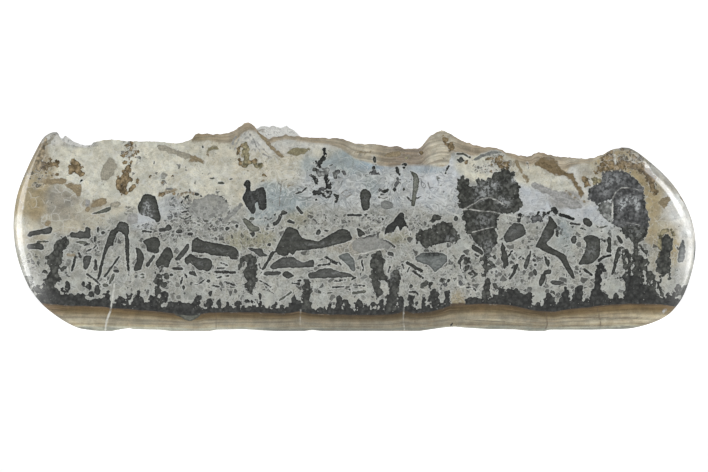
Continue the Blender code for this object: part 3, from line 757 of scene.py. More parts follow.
CHIPS["charcoal", "outlines"] = [
    [-86.6,48.7, -86.2,50.8, -84.5,54, -83,54.8, -81,54.5, -79.5,53.6, -78.8,51.5, -77.4,45.5, -77.7,44,
     -79,43.4, -80,44.5, -82,45.5, -84.5,46.2, -86,47.2],
    [-84.5,36, -81,37.6, -79.2,37.5, -77.8,36.3, -77.4,34.5, -78.2,33, -77.9,32, -79,31, -82.5,31.8,
     -83,33.8, -84.2,35.2],
    [-79.2,27.8, -76.3,32.3, -75,33.4, -73.6,33.2, -72.5,31.2, -72.3,29.8, -73.7,27.5, -74.3,25.3, -77.5,26,
     -78.5,25, -79.2,26.5],
    [-65,31.5, -65,35.3, -64.4,36.6, -62.5,37.8, -61.5,36.5, -50,34.2, -47.3,33, -46.1,31.2, -46.5,29,
     -47.5,28.5, -49.5,28.7, -50.5,29.8, -56.8,30.2, -58.5,31, -62,31.2, -64,31.8],
    [-68,28.7, -66,30.8, -65,30.9, -63.5,29.8, -61.5,29.2, -58.7,29.3, -57.2,28.2, -56.7,26.5, -57.3,24.8,
     -58.7,23.8, -60.2,24.3, -62.2,24.3, -65,26.8, -66,27.3, -66.5,26.2, -67.3,27],
    [-31.5,32.7, -28,40, -27.2,41.2, -25.7,41.7, -24,41.1, -22.5,40, -20.6,37.2, -16,36.3, -13.8,36.3,
     -7,40.2, -5,40.9, -3.5,40.7, -2,39.7, -1.2,38, -1.1,36.6, -2,36, -10,33.7, -21,32.1, -23,32.3,
     -24.7,30.5, -26,31.5, -26.5,30.1, -30,30.3, -31,31.3],
    [-37,24.8, -36,24.6, -33.8,28.2, -31.9,31, -32.1,31.8, -33,32, -33.8,30.8, -35.3,28],
    [-28.9,22.8, -28.2,23.8, -27,24, -25.3,23.2, -24.2,22, -26,21, -27.3,21.2, -28.5,21.8],
    [-12.2,29.3, -11,30, -9,28.8, -7,27.6, -7.2,26.5, -9,27.2, -10.5,28.5],
    [0.8,41, 2,41, 3.2,40.2, 4.4,38.7, 3.2,38.2, 1.9,37.6, 1.3,38.6, 1.2,40],
    [2.2,54.8, 2.9,56.3, 3.8,56.9, 5.3,56.4, 6.4,55.3, 6.7,54, 6.2,52.3, 5.9,48.7, 4.8,48.1, 3.3,48.4,
     2.4,52],
    [59.1,35.5, 61.1,30.5, 61.5,26, 60.6,25.8, 60.2,24.7, 59.6,25, 59.2,27.3, 58.5,29, 58.7,31, 58.3,33.3],
    [75,23.2, 76.3,22.5, 76.4,21.3, 75.8,20, 75,18.2, 74,17.8, 73.6,19.3, 73.9,21],
    [75.7,30, 76.5,29.8, 77,28.9, 78,28.5, 78,26.8, 77.4,25.2, 76.8,26.3, 76.2,27.5],
    [75.6,24.2, 78.5,24.5, 78.2,22.8, 76.5,23, 75.6,23.3],
    # the A-shaped pair of plates
    [72.6,34.5, 77.3,44, 77.4,45.8, 78.7,45.5, 81,42, 79.8,40.5, 79.5,38.5, 77.5,36, 77,34.6, 83.5,30.8,
     85,28.5, 87.9,22, 87.4,20.8, 85.6,22.8, 82,28.5, 80.5,30, 78,30.8, 73.3,33.3],
    [91.3,37.3, 92.5,38.2, 95,38.3, 96.8,37.8, 97.9,36.3, 98.2,33.5, 98,31, 97,28.8, 95.5,27.5, 93,26.7,
     90.5,26.5, 89.5,27, 91.5,31, 92.3,33.8, 92.3,35.5, 91.5,36.3],
    [101,37.2, 102,37.7, 102.6,36.5, 102.5,33.5, 102.8,31.8, 101,31.5, 100.5,32.5, 101,34.5],
    [105.2,33.6, 105.8,33.2, 106.4,31.8, 106.2,30, 105.2,28, 104,24, 103,22.4, 102.6,22.5, 104.5,32],
    [91.3,44.8, 92.3,45.4, 93.8,44.8, 95,43.3, 94.5,42, 93.3,41.7, 91.5,42.8],
    [47,34.7, 48,34.5, 50,33, 51.5,31.5, 51,30.3, 49.5,31, 47.5,32.3, 46.7,33.2],
    # the long rods at the left
    [-102.8,21, -101.5,22, -99.5,30, -97.8,33.8, -96.5,34, -95.5,37.6, -94,39.6, -91.9,38, -91.6,31,
     -91.1,27, -90.3,22.3, -89.9,22.3, -89.9,34.5, -90.2,38, -89.9,41.3, -91,43.3, -93,43.8, -94.3,43.4,
     -95.6,41, -97.2,40.2, -98.7,37, -100.2,32],
    [-87.5,33.3, -86,33, -84.6,31.3, -83.9,29.5, -84.6,26.5, -85.5,24.5, -87.5,24.1, -88.2,24.8, -87.3,27.5,
     -87,30.5],
]
CHIPS["charcoal", "strokes"] = [
    [-103.4,28.6, -103.1,24.6, 0.55], [-72.4,25.1, -68.8,25, 0.6], [-55.6,23.7, -53,23.7, -47.8,23.4, 0.55],
    [-55,21.2, -53,21.7, -50.3,22, 0.4], [21,27.3, 26.8,24, 0.65], [23.3,24, 27.3,21.2, 0.5],
    [65,26.5, 63.6,23.4, 62,21, 0.6], [-99.8,21.7, -94,29.7, 0.4], [-112.9,24.4, -112,27, -111.4,30, 0.55],
    [91.6,24.7, 94.7,22.5, 0.55], [19,26.7, 19.8,24.8, 0.4], [-38.2,20.3, -35.5,19, -33.3,17.5, 0.3],
    [-38,26.8, -37.8,25.2, 0.35], [22,15.7, 24.3,15.6, 0.5], [24.7,15.6, 25.5,14.3, 0.35],
    [-1.2,20.7, 0.4,21.5, 0.4], [105.2,37.8, 106.5,35.6, 0.7], [106.2,33.8, 107.3,33.2, 0.35],
    [-39,12.4, -38.4,10.6, 0.3],
]
CHIPS["charcoal", "ovals"] = [
    [-73,22.5, 0.7,0.6], [-68.3,17.4, 0.6,0.9], [-24.6,31.4, 0.9,0.8], [-102.4,40.5, 0.5,1.3],
    [36.4,63.1, 0.5,0.5], [-9.8,10.4, 0.9,0.9], [-40.5,11, 0.45,0.35], [-58.4,20, 0.9,0.7],
]
tell(CHIPS)

# %% Chips of dusk tone
CHIPS["dusk", "outlines"] = [
    [-113.5,37.5, -113,39.5, -111,39.5, -109.5,40.2, -107.8,39.7, -107.5,41.2, -106.7,41.7, -105.5,40.8,
     -105.4,39, -106,37],
    [-108.5,26, -107.9,29.9, -105,30, -105.8,26.5, -107.2,24.3],
    [-130.2,33, -130,34.8, -125.5,35, -124.3,34.5, -124.3,32.4, -127,32.6],
    [-130,37.8, -126,38.5, -121.3,39.2, -121,41.8, -124,40.9, -127,40.3, -130,39.4],
    [-71.9,29, -70.3,30.5, -67,34.7, -65.9,34.3, -66.2,32.5, -69.8,28.2, -71,28.3],
    [-66.5,23.5, -65.2,24, -63.8,23.8, -63,22.5, -62.2,21.4, -63,21.5, -64.2,22.3, -65.8,22.6],
    [-78.1,40, -77.8,41, -76,41.2, -75,42.3, -74,42.6, -73,41.5, -73.2,40.3, -76.5,39.7],
    [-42.7,33, -40.5,33.2, -37,32.8, -36.5,31.6, -35,30.5, -34.8,29.8, -36.5,29.9, -37.8,29.5, -40,31.4],
    [-36.6,22.8, -35.8,23.7, -33,23.9, -29.6,23.9, -29.5,22.7, -32,22.3, -34.5,22.2, -35.9,22.2],
    [-33.8,25.6, -32.8,27, -31,28.4, -29,29.2, -26.5,29.6, -24.5,29.5, -20.7,27.4, -17.5,28.5, -16.3,28.3,
     -16.2,26.3, -17,25.5, -28,25.2, -32.5,24.7],
    [-18.8,22.5, -17.8,23.5, -15.5,23.8, -13.8,24.8, -11.5,25.2, -9,24.9, -6.5,24, -2,23, -0.9,22.3,
     -1.3,21.5, -17,21, -18.3,21.6],
    [59.7,38.5, 63.3,43.1, 65,43.2, 67,42.7, 68,41.3, 68.5,39.2, 67.5,38, 63.5,36, 61.7,35.5, 60.2,35.6],
    [70.6,32.3, 69.8,31.5, 67.5,26.5, 67.8,25, 68.8,24.8, 69.5,26.5, 70.5,30.5],
    [78,19.5, 79,20.3, 82,20, 83.7,19.5, 83,18.8, 80.8,18.4, 79,18.8],
    [86.5,37.5, 88.3,38.1, 88.8,36.5, 87.8,34.8, 86.8,35.2],
    [71.8,25, 72.5,24.8, 73,22.8, 72.6,22, 71.5,22.9, 71.1,24],
    [13,31, 13.8,31.7, 15,31.6, 15.8,30.7, 15.7,29.3, 14.8,30, 13.3,30.2],
    [-27,43.8, -25.8,44.8, -25,44.2, -23.8,43.5, -24.3,42.8, -25.5,43.2],
    [-41.9,39.3, -39.8,39.3, -40.5,37.3],
    [-15.5,39, -14.6,40.6, -13.4,40.2, -13.5,39, -14.8,38.2],
]
CHIPS["dusk", "strokes"] = [
    [-59,52.8, -56,53.9, -53,53.8, -51,52, 0.35], [-70.5,48.6, -69,47.4, -66.8,47.8, 0.3],
    [-68.8,50.4, -67,49, -64.8,49.6, 0.3], [-70,45.6, -67.6,44.8, -65.5,45.8, 0.3],
    [-82.7,26.2, -81.4,28.2, -80.2,30, 0.7], [-51.8,19.7, -47.7,18.5, 0.5], [-24.8,19.3, -22,18.6, 0.45],
    [-14.6,26.2, -10,26.8, 0.45], [-22.8,49.5, -21.2,47.2, 0.65], [-29.3,46.5, -30.8,43.5, -32,42.8, 0.7],
    [-6.2,27.5, -5.2,26.3, 0.4], [14.2,25.8, 13.4,23.4, 0.35], [21.8,25.3, 21.2,23.8, 0.4],
    [37.9,66.3, 36.5,63.6, 0.35], [20.7,54, 22.3,52.2, 0.4], [25,53, 26.3,53.7, 0.35],
    [86.3,43, 90.2,42.6, 0.45], [90.3,41.3, 92.5,40.3, 0.35], [43.5,30, 41.7,27.4, 0.7],
    [42.2,26.8, 42.3,25, 0.4], [48,30.8, 49.5,29.9, 0.4], [62.8,25.2, 63.8,26.3, 0.35],
    [-54.6,25.2, -52,25.1, 0.35], [-84.5,40, -81.3,39.5, 0.5], [3,36.8, 6,38, 8.3,38.5, 0.35],
    [12,36.5, 14.5,35, 16.2,33.4, 0.35], [-68.9,21.5, -69.3,19, 0.4], [-64,43.2, -61.8,42.4, 0.35],
    [-35.5,40.8, -32.5,41.1, 0.35], [19.2,30.9, 20.5,30.2, 0.3], [81,40.2, 81,38, 0.5],
    [-38.3,22, -36.9,23.7, 0.3], [98.7,36.8, 100,35.8, 0.5], [-23.3,55, -21,55.7, -19.2,57.2, 0.3],
    [90.4,25.5, 90,23.6, 0.35], [128.4,34.2, 129.2,32.7, 0.35], [131.7,18.8, 130.5,15.2, 0.5],
    [-106.7,22.8, -103.5,20.5, -101.7,18.5, 0.45], [-108,34.3, -106,34.8, 0.35],
    [-107,31.8, -105,32.8, 0.35], [-110,31, -109.5,29.8, 0.6], [-104.2,33, -103,34.2, 0.35],
    [-2.5,46.3, 2.5,46.3, 0.5], [65.6,29, 66.5,30, 0.35], [-64.2,18.4, -62,18.9, -60,20.5, 0.25],
    [-56.6,18.1, -53.9,17.8, 0.4], [-8.9,66.4, -10,66, 0.3], [-14.8,28.7, -12.4,28.6, 0.3],
    [-53.3,27.3, -50.9,26.3, 0.4], [44.5,17.4, 46.5,17.6, 0.3], [47.3,17.3, 48.4,16, 0.35],
    [45.1,14.3, 46.4,14.7, 0.3], [-12,40.2, -10.7,40, 0.35],
]
CHIPS["dusk", "ovals"] = [
    [-100.4,39.3, 0.9,0.8], [-103.6,36.7, 0.6,1.2], [-103.4,25.3, 0.9,1.2], [-95.2,24, 1.2,0.7,-10],
    [-96.8,21, 0.5,1.5,-20], [-60.6,73.6, 0.4,0.5], [-70,39.8, 1.4,0.8], [-65.5,38.8, 1.2,0.7],
    [-47,42, 0.7,0.8], [-50.7,41, 1,0.8], [-34,34.6, 0.9,0.6], [-20,37.9, 0.6,0.35], [11.3,44.8, 0.6,0.7],
    [-2,16.6, 0.5,0.5], [40.5,45, 0.9,1.1], [133.4,21.3, 0.9,0.7], [56.6,23.8, 0.5,0.9], [67.3,29, 0.5,0.5],
    [72.3,26.5, 0.6,0.5], [71.8,28.3, 0.9,0.6], [-49.3,60.8, 0.8,0.4], [4.5,46.5, 0.8,0.5],
    [40.1,20.2, 0.35,0.5], [-44.3,40.5, 0.45,0.5], [98.5,40, 0.6,0.3],
]
tell(CHIPS)

# %% Grey chips
CHIPS["ash", "outlines"] = [
    [22.3,64, 24.8,63, 25.6,61.3, 25.8,59, 24.7,54, 24.2,50, 23.2,49.8, 22.7,50.8, 23.4,60, 23,62.3],
    [-72,6.8, -69,5.2, -66,4.2, -63.5,4.9, -61.5,6.6, -64,6.9, -68,7],
    [-104.9,46.9, -101,48.5, -98,49.6, -97.2,48.6, -98.5,47.8, -101,47.1, -103.5,46.8],
    [-46.5,45.8, -42.5,44.6, -39.5,42, -38.3,41.7, -37.7,40.2, -38.5,39.9, -41.8,40, -45.2,44.9],
]
CHIPS["ash", "strokes"] = [
    [-96.3,22.4, -97.6,19.4, 0.6], [-128.8,21.4, -128.2,18.6, 0.8],
    [-126.6,35.6, -124.2,35.9, -122.4,35.6, 0.35], [-30,12.3, -25.2,15.5, 0.45], [-0.5,15.2, 4,15.8, 0.6],
    [41,70.7, 43.5,70.8, 46.2,69.4, 0.4], [-12,14.8, -9,15.5, 0.35], [69,67, 69.5,65.2, 0.3],
    [9.7,53.5, 12,53.1, 14.5,53.8, 0.3], [-41.5,44.9, -40.5,44.9, 0.5], [96.5,42, 98,41.2, 101,42, 0.3],
]
CHIPS["ash", "ovals"] = [
    [-57,61, 1.2,0.4], [-53.2,59.2, 1.6,0.6], [-54.7,55.6, 1,0.4], [34.5,58.3, 0.5,0.5], [-107,74, 1.4,0.5],
    [-109,35.5, 2.3,0.6], [-59,43.9, 1.4,0.5], [-85,22.7, 1.3,0.3], [-84.8,21.5, 1.2,0.4],
    [-99.4,18.3, 1.2,0.8],
]
CHIPS["steel", "outlines"] = [
    [24,29, 25.5,30.5, 27.5,31.3, 31,31.5, 34,31.2, 36.9,30.3, 37,29, 36.7,27.5, 32.8,23.9, 31.8,23.7,
     30,25.8, 25.2,27.8],
    [-6.3,29.8, -4.5,30.8, -2.7,31.2, -1.2,30, -0.2,28.5, 0.4,25, -0.2,23.7, -1.5,24.5, -3,26.5],
    [129,28, 129.4,31, 130,34.5, 131,36.4, 131.6,33, 131.4,29.5, 130.4,27.4],
]
CHIPS["fog", "outlines"] = [
    [46.5,68, 52,71, 57,72.1, 58.3,71.2, 55,70.6, 52,69.5],
]
CHIPS["fog", "strokes"] = [
    [3,21.2, 4.6,22, 0.5],
]
CHIPS["fog", "ovals"] = [
    [13,50.4, 2.6,1.8], [-73.6,56.7, 1.6,0.6],
]
CHIPS["haze", "strokes"] = [
    [-52,43.8, -45.4,50.3, 0.9],
]
CHIPS["haze", "outlines"] = [
    [0,36.3, 6,37.8, 9,37.5, 12,36.3, 14,34.8, 14.5,33, 9,32.4, 6.5,31, 3,31, 0.5,32, -1,34],
    [-66.5,48.3, -65.5,50.5, -63.8,52.6, -61.5,53, -59,54.2, -56,54.8, -53.6,54.2, -51.8,52.6, -50.2,50.4,
     -50.8,48.3, -53,46.4, -58.5,44.8, -61,45.6, -64,46],
]
CHIPS["pearl", "ovals"] = [
    [-88.7,44.8, 2.2,2.3], [-107,51.4, 1.6,1.4],
]
CHIPS["pearl", "outlines"] = [
    [82,56, 84,55, 90.3,50.8, 90,49.2, 88,48.8, 86,49, 83,51.2, 80,53],
]
CHIPS["pearl", "strokes"] = [
    [-47.8,72.6, -46.9,75.6, -45,78.2, -42.5,79.5, -40.5,77.2, -39.1,73.5, -35.9,70.3, -33.1,69.4, 0.2],
    [-46,73.1, -44.8,76.5, -42.8,77.7, -40.9,75.4, -40.2,72.6, -38.6,70.3, -36,68.8, 0.2],
    [-49.7,73, -48.4,75.4, -47.3,77.8, 0.2], [-39,75.6, -37.4,73.2, -34.6,71.4, 0.15],
    [72,58.3, 76.5,56.2, 81,54.6, 1.3],
]
tell(CHIPS)

# %% Brown chips
CHIPS["olive", "outlines"] = [
    [-58.9,71.9, -58.2,73.2, -56.5,74.1, -55,73.9, -54.2,72.8, -54.8,72.3, -56.2,72.5, -57.8,71.7],
    [-26.8,71.3, -25.5,72.5, -23,73.3, -18,73.1, -18.2,72.2, -20,71, -22.5,70.2, -24.5,70.2],
]
CHIPS["umber", "outlines"] = [
    [72.5,67, 75.6,69.3, 77.4,69.5, 79.7,68, 81.9,65.6, 84.2,63.8, 86.8,63, 88,62, 88.5,60.2, 91.5,55.2,
     91,53.8, 90,54, 86.3,60.7, 84.5,61.8, 80,62.6],
]
CHIPS["umber", "strokes"] = [
    [-70.6,53, -68.6,54.9, -65.6,55.3, -62.6,54.6, 0.45],
    [72.6,66.8, 76,65.2, 79.5,63.6, 82.5,63, 85,62.2, 87.2,60.2, 88.8,57.6, 90.6,54.8, 0.75],
    [75,69, 78.5,69, 81,67.4, 0.5],
]
CHIPS["bistre", "outlines"] = [
    [12,70, 13.5,71.2, 16,72, 18.5,71.5, 19,70.5, 17,69.7, 14,69.7],
    [-105.3,50.2, -104,52.2, -102.8,52.9, -99.2,53, -99,51.5, -100.3,50.2, -102,49.5, -104,49.6],
    [-115.3,58.6, -110.5,58.9, -108.8,57.2, -110,53.3, -111,54.5, -112.8,56.2],
    [121.5,50.5, 122,52.5, 123.5,53.3, 125.2,53.8, 125.3,51.5, 124.3,49.5, 123.5,48.3, 122.8,49.5],
]
CHIPS["bistre", "strokes"] = [
    [-77.3,54.9, -74.6,55.6, -71.6,56.4, 0.8], [64.5,67.5, 65.8,65, 67.5,62.3, 69.4,60.2, 0.7],
    [-124.5,60.2, -121.5,59.6, -116.4,59.9, 1.2],
    [-38.4,79.6, -35.6,76.4, -33,73.2, -31,71.3, -28.8,70, 0.8], [-28,57.6, -26.5,57.6, -25,58.7, 0.35],
    [-65,69.9, -62.6,68.8, -60.5,67.8, 0.7], [-66,68.2, -63.2,68.2, 0.5], [4.2,71.4, 6.5,71.7, 0.35],
    [0,71.3, 2,71.6, 3.9,71, 0.5], [19.2,71.8, 20,71, 0.3], [-114.4,30.3, -111.8,30.4, 0.4],
    [84.5,56.3, 87.5,53.4, 91,51.9, 93.2,51.8, 0.3],
]
CHIPS["bistre", "ovals"] = [
    [-106.5,48.7, 0.9,1], [-77,59, 0.8,0.8], [-36.3,60.3, 0.5,0.4], [35.7,69, 0.6,0.4], [14,67.3, 0.5,0.4],
    [22.5,70.3, 0.5,0.4], [-122.3,43.2, 1.2,1.2], [-58.5,70.4, 0.4,0.5],
]
CHIPS["taupe", "outlines"] = [
    [-97.5,69.4, -95.5,67.8, -95,65.5, -97.5,60.8, -99.5,60.4, -101.4,60.8, -101,64, -99.5,67.5],
    [-78.8,74, -77.8,74.6, -70,72.3, -65.7,70.7, -66,69.2, -67.5,68.6, -70,69.8, -77.5,72.3, -78.6,73],
]
CHIPS["taupe", "strokes"] = [
    [-122.6,75, -121,76.8, -119.9,78.3, 0.6],
]
CHIPS["taupe", "ovals"] = [
    [-107.2,51.4, 1.7,1.3], [-95.3,50.6, 2,1.1], [63.4,66.7, 0.6,1.2], [1.9,70.7, 1.6,0.5],
]
tell(CHIPS)

# %% [markdown]
# ## Beds, rind, cracks and mud
#
# The lowest bed is brown laminated mudstone, and a fringe of bushes starts on it everywhere
# except at a small fault. Above the mud lies a rind of tan laminae that folds with the crust.
# The mud itself changes softly from place to place: bluish where it filled a pool, cream above,
# grey with crumbs below. Soft patches of a few named tones make that ground, and a few near-white
# ones paint the highlight on the right end and shoulder.

# %% Beds and rind
BED_TOP = [
    (-131, 12.5), (-123, 11), (-119, 10.6), (-115, 10.2), (-105, 10), (-100, 9.7), (-97, 9.2), (-93, 9),
    (-90, 8.8), (-85, 8.3), (-80, 8), (-75, 7.4), (-70, 6.7), (-66, 6.1), (-62, 6.5), (-60, 7.2),
    (-55, 7.5), (-46, 7.5), (-40, 7.5), (-35, 7.3), (-30, 7.1), (-25, 7.3), (-22, 8), (-20, 7.6), (-17, 7),
    (-10, 6.7), (0, 6.5), (10, 6.5), (15, 6.8), (18, 7.3), (19, 8), (21, 8), (22, 7.4), (25, 7.3),
    (30, 7.7), (35, 9), (38, 10.2), (44, 10.6), (50, 10.9), (60, 10.6), (63, 10.2), (66, 9.6), (70, 8.6),
    (75, 7.9), (80, 7.7), (83, 8.4), (85, 8.7), (90, 9.2), (97, 10), (100, 10.4), (110, 11), (120, 10.8),
    (125, 10.4), (127.5, 9.7), (129, 9), (134, 7),
]
FRINGE_HEIGHT = [
    (-130, 2.2), (-30, 2.2), (-20, 2.2), (16, 2.4), (30, 1.6), (36, 1.3), (37.2, 2), (38.6, -1.5),
    (43.6, -1.5), (44.6, 2.4), (128, 2.6), (131, 1),
]
RIND_BASE = [
    (-67, 90), (-65, 75.5), (-62, 75.8), (-58, 76.3), (-55, 75.6), (-50, 75), (-48.5, 75.5), (-46.5, 77),
    (-44.5, 79), (-42, 80.5), (-40, 80), (-38, 78.5), (-36.5, 76.5), (-35.5, 75.2), (-33, 75.3),
    (-28, 76.7), (-25, 76.3), (-20, 75.6), (-15, 75), (-10, 74.6), (-5, 72.6), (0, 69), (5, 67.5), (10, 66),
    (15, 65.5), (20, 66.5), (25, 66.2), (30, 66.2), (35, 65.5), (37.6, 66.5), (39, 71.5), (42, 71.2),
    (46, 70), (49, 70), (52, 71.5), (56, 72.3), (59, 71.5), (62, 69.5), (65, 68), (68, 66), (70, 66),
    (73, 67), (76, 64.5), (80, 62.5), (84, 62), (86, 65.5), (90, 67), (95, 67.5), (97, 68.5), (99, 70.5),
    (101, 90),
]


def along(points, x):
    """Reads a line of (x, value) points at x."""
    rows = np.array(points, float)
    return np.interp(x, rows[:, 0], rows[:, 1])


bed_top = along(BED_TOP, u)
rind_base = along(RIND_BASE, u)
print("brown bed from", bed_top.min(), "to", bed_top.max(), "mm thick")

# %% Distances to growths and chips
REACH = 3.0  # distances are worked out this far from an edge


def turned(x, z, turn):
    """x and z as read on axes turned by this many degrees."""
    c, s = math.cos(math.radians(turn)), math.sin(math.radians(turn))
    return x * c + z * s, z * c - x * s


def oval_distance(x, z, centre_x, centre_z, half_x, half_z, turn=0.0):
    """How far each place is outside an oval, negative inside it."""
    across, up = turned(x - centre_x, z - centre_z, turn)
    near = np.hypot(across / half_x, up / half_z)
    steep = np.hypot(across / half_x**2, up / half_z**2)
    return near * (near - 1) / np.maximum(steep, 1e-6)


def outline_distance(x, z, numbers):
    curve = smoothed(np.array(numbers, float).reshape(-1, 2), samples=4, closed=True)
    distance, held = path_distance(x, z, curve)
    return np.where(held, -distance, distance)


def stroke_distance(x, z, numbers):
    path = np.array(numbers[:-1], float).reshape(-1, 2)
    return path_distance(x, z, path)[0] - numbers[-1]


def around(kind, numbers):
    """Which points of the skin lie in the box of a shape, with REACH around it."""
    if kind == "ovals":
        (x, z), spread = numbers[:2], max(numbers[2:4])
        x0, x1, z0, z1 = x - spread, x + spread, z - spread, z + spread
    else:
        ends = numbers if kind == "outlines" else numbers[:-1]
        x0, x1, z0, z1 = min(ends[::2]), max(ends[::2]), min(ends[1::2]), max(ends[1::2])
    return np.flatnonzero((u > x0 - REACH) & (u < x1 + REACH) & (v > z0 - REACH) & (v < z1 + REACH))


KINDS = {
    "outlines": outline_distance,
    "strokes": stroke_distance,
    "ovals": lambda x, z, numbers: oval_distance(x, z, *numbers),
}
print("kinds of shape:", *KINDS)

# %% The nearest growth and the nearest chip
def nearest_shapes(library, edge, tone):
    """Lowers edge and sets tone wherever a shape of the library is the nearest so far."""
    for (name, kind), shapes in library.items():
        for numbers in shapes:
            near = around(kind, numbers)
            distance = KINDS[kind](u[near], v[near], numbers)
            closer = distance < edge[near]
            edge[near[closer]] = distance[closer]
            tone[near[closer]] = linear(TONES[name])
    return edge, tone


def fresh(name):
    return np.full(u.shape, REACH), np.tile(linear(TONES[name]), (u.size, 1))


growth_edge, growth_tone = nearest_shapes(GROWTHS, *fresh("soot"))
chip_edge, chip_tone = nearest_shapes(CHIPS, *fresh("charcoal"))
bush_strokes = [
    [x, float(along(BED_TOP, x)), x, max(top - half, float(along(BED_TOP, x)) + 0.5), half]
    for x, top, half in np.array(BUSHES).reshape(-1, 3).tolist()
]
growth_edge, growth_tone = nearest_shapes({("soot", "strokes"): bush_strokes}, growth_edge, growth_tone)
fringe = v - bed_top - along(FRINGE_HEIGHT, u)
in_fringe = fringe < growth_edge
growth_edge = np.minimum(growth_edge, fringe)
growth_tone[in_fringe] = linear(TONES["soot"])
print("share of the skin in growths:", (growth_edge < 0).mean().round(3))
print("share of the skin in chips:", (chip_edge < 0).mean().round(3))

# %% Cracks and veins, as paths with a half width
PALE_VEINS = [
    [-95.8,19, -96.5,14, -97.5,8, -99,4, -99.5,0.5, 0.3],
    [43,48.3, 47,50.5, 50.5,52.7, 54,53.3, 57,52.2, 60,50.3, 0.2],
    [43,48.5, 46,48.7, 50,48, 55,47.7, 58.5,46.8, 62,46.2, 66,45.4, 0.2],
    [47,39.5, 52,40.8, 55.5,41.6, 0.15], [40.9,23.3, 41.1,20, 41.3,18.3, 42.5,17.5, 44,18, 0.3],
    [19.7,9.6, 19.6,5, 19.8,0.5, 0.22], [-21.5,8.8, -21.6,4, -21.4,0.5, 0.18],
    [99.3,69, 101,68, 103,68.5, 0.15], [103.8,70.5, 104,68.5, 104.4,66.5, 0.3],
    [110.5,67.8, 113,67, 115,68, 0.2], [12,32.8, 9,32.5, 4,31, 0,30.6, 0.25],
    [42.2,45.4, 40,46.6, 37,47.8, 36,49, 0.25], [103.2,53.5, 103,48, 102.9,45, 0.25],
    [103.2,53, 104.3,55.6, 106.7,57.3, 110,57.3, 113.6,56.3, 0.12],
    [105.3,42, 107.5,43.1, 110,43.2, 113,42.6, 115.6,41.3, 0.05],
]
DARK_CRACKS = [
    [-55.2,7.4, -55.2,1, 0.12], [-2,6.4, -2.1,1, 0.08], [24,7, 24,3, 0.12],
    [76.8,7.6, 76.7,5, 77,2.3, 76.2,0.8, 0.22], [97,9.3, 97.8,6, 98.3,2.3, 0.2],
    [-29,60, -29.8,54, -29.9,50, 0.16], [-5.3,55, -3.2,56.5, -1.2,54.7, -3.2,53.4, -5.3,55, 0.12],
    [44,4.5, 52,4.2, 60,3.8, 0.12], [44,2.7, 52,2.6, 60,2.4, 0.1], [83,5.3, 100,5.4, 115,5.2, 0.1],
    [83,2, 96,2.1, 110,1.9, 0.1],
]


def nearest_path(paths):
    edge = np.full(u.shape, REACH)
    for numbers in paths:
        near = around("strokes", numbers)
        edge[near] = np.minimum(edge[near], stroke_distance(u[near], v[near], numbers))
    return edge


pale_vein, dark_crack = nearest_path(PALE_VEINS), nearest_path(DARK_CRACKS)
print(len(PALE_VEINS), "veins and", len(DARK_CRACKS), "cracks")

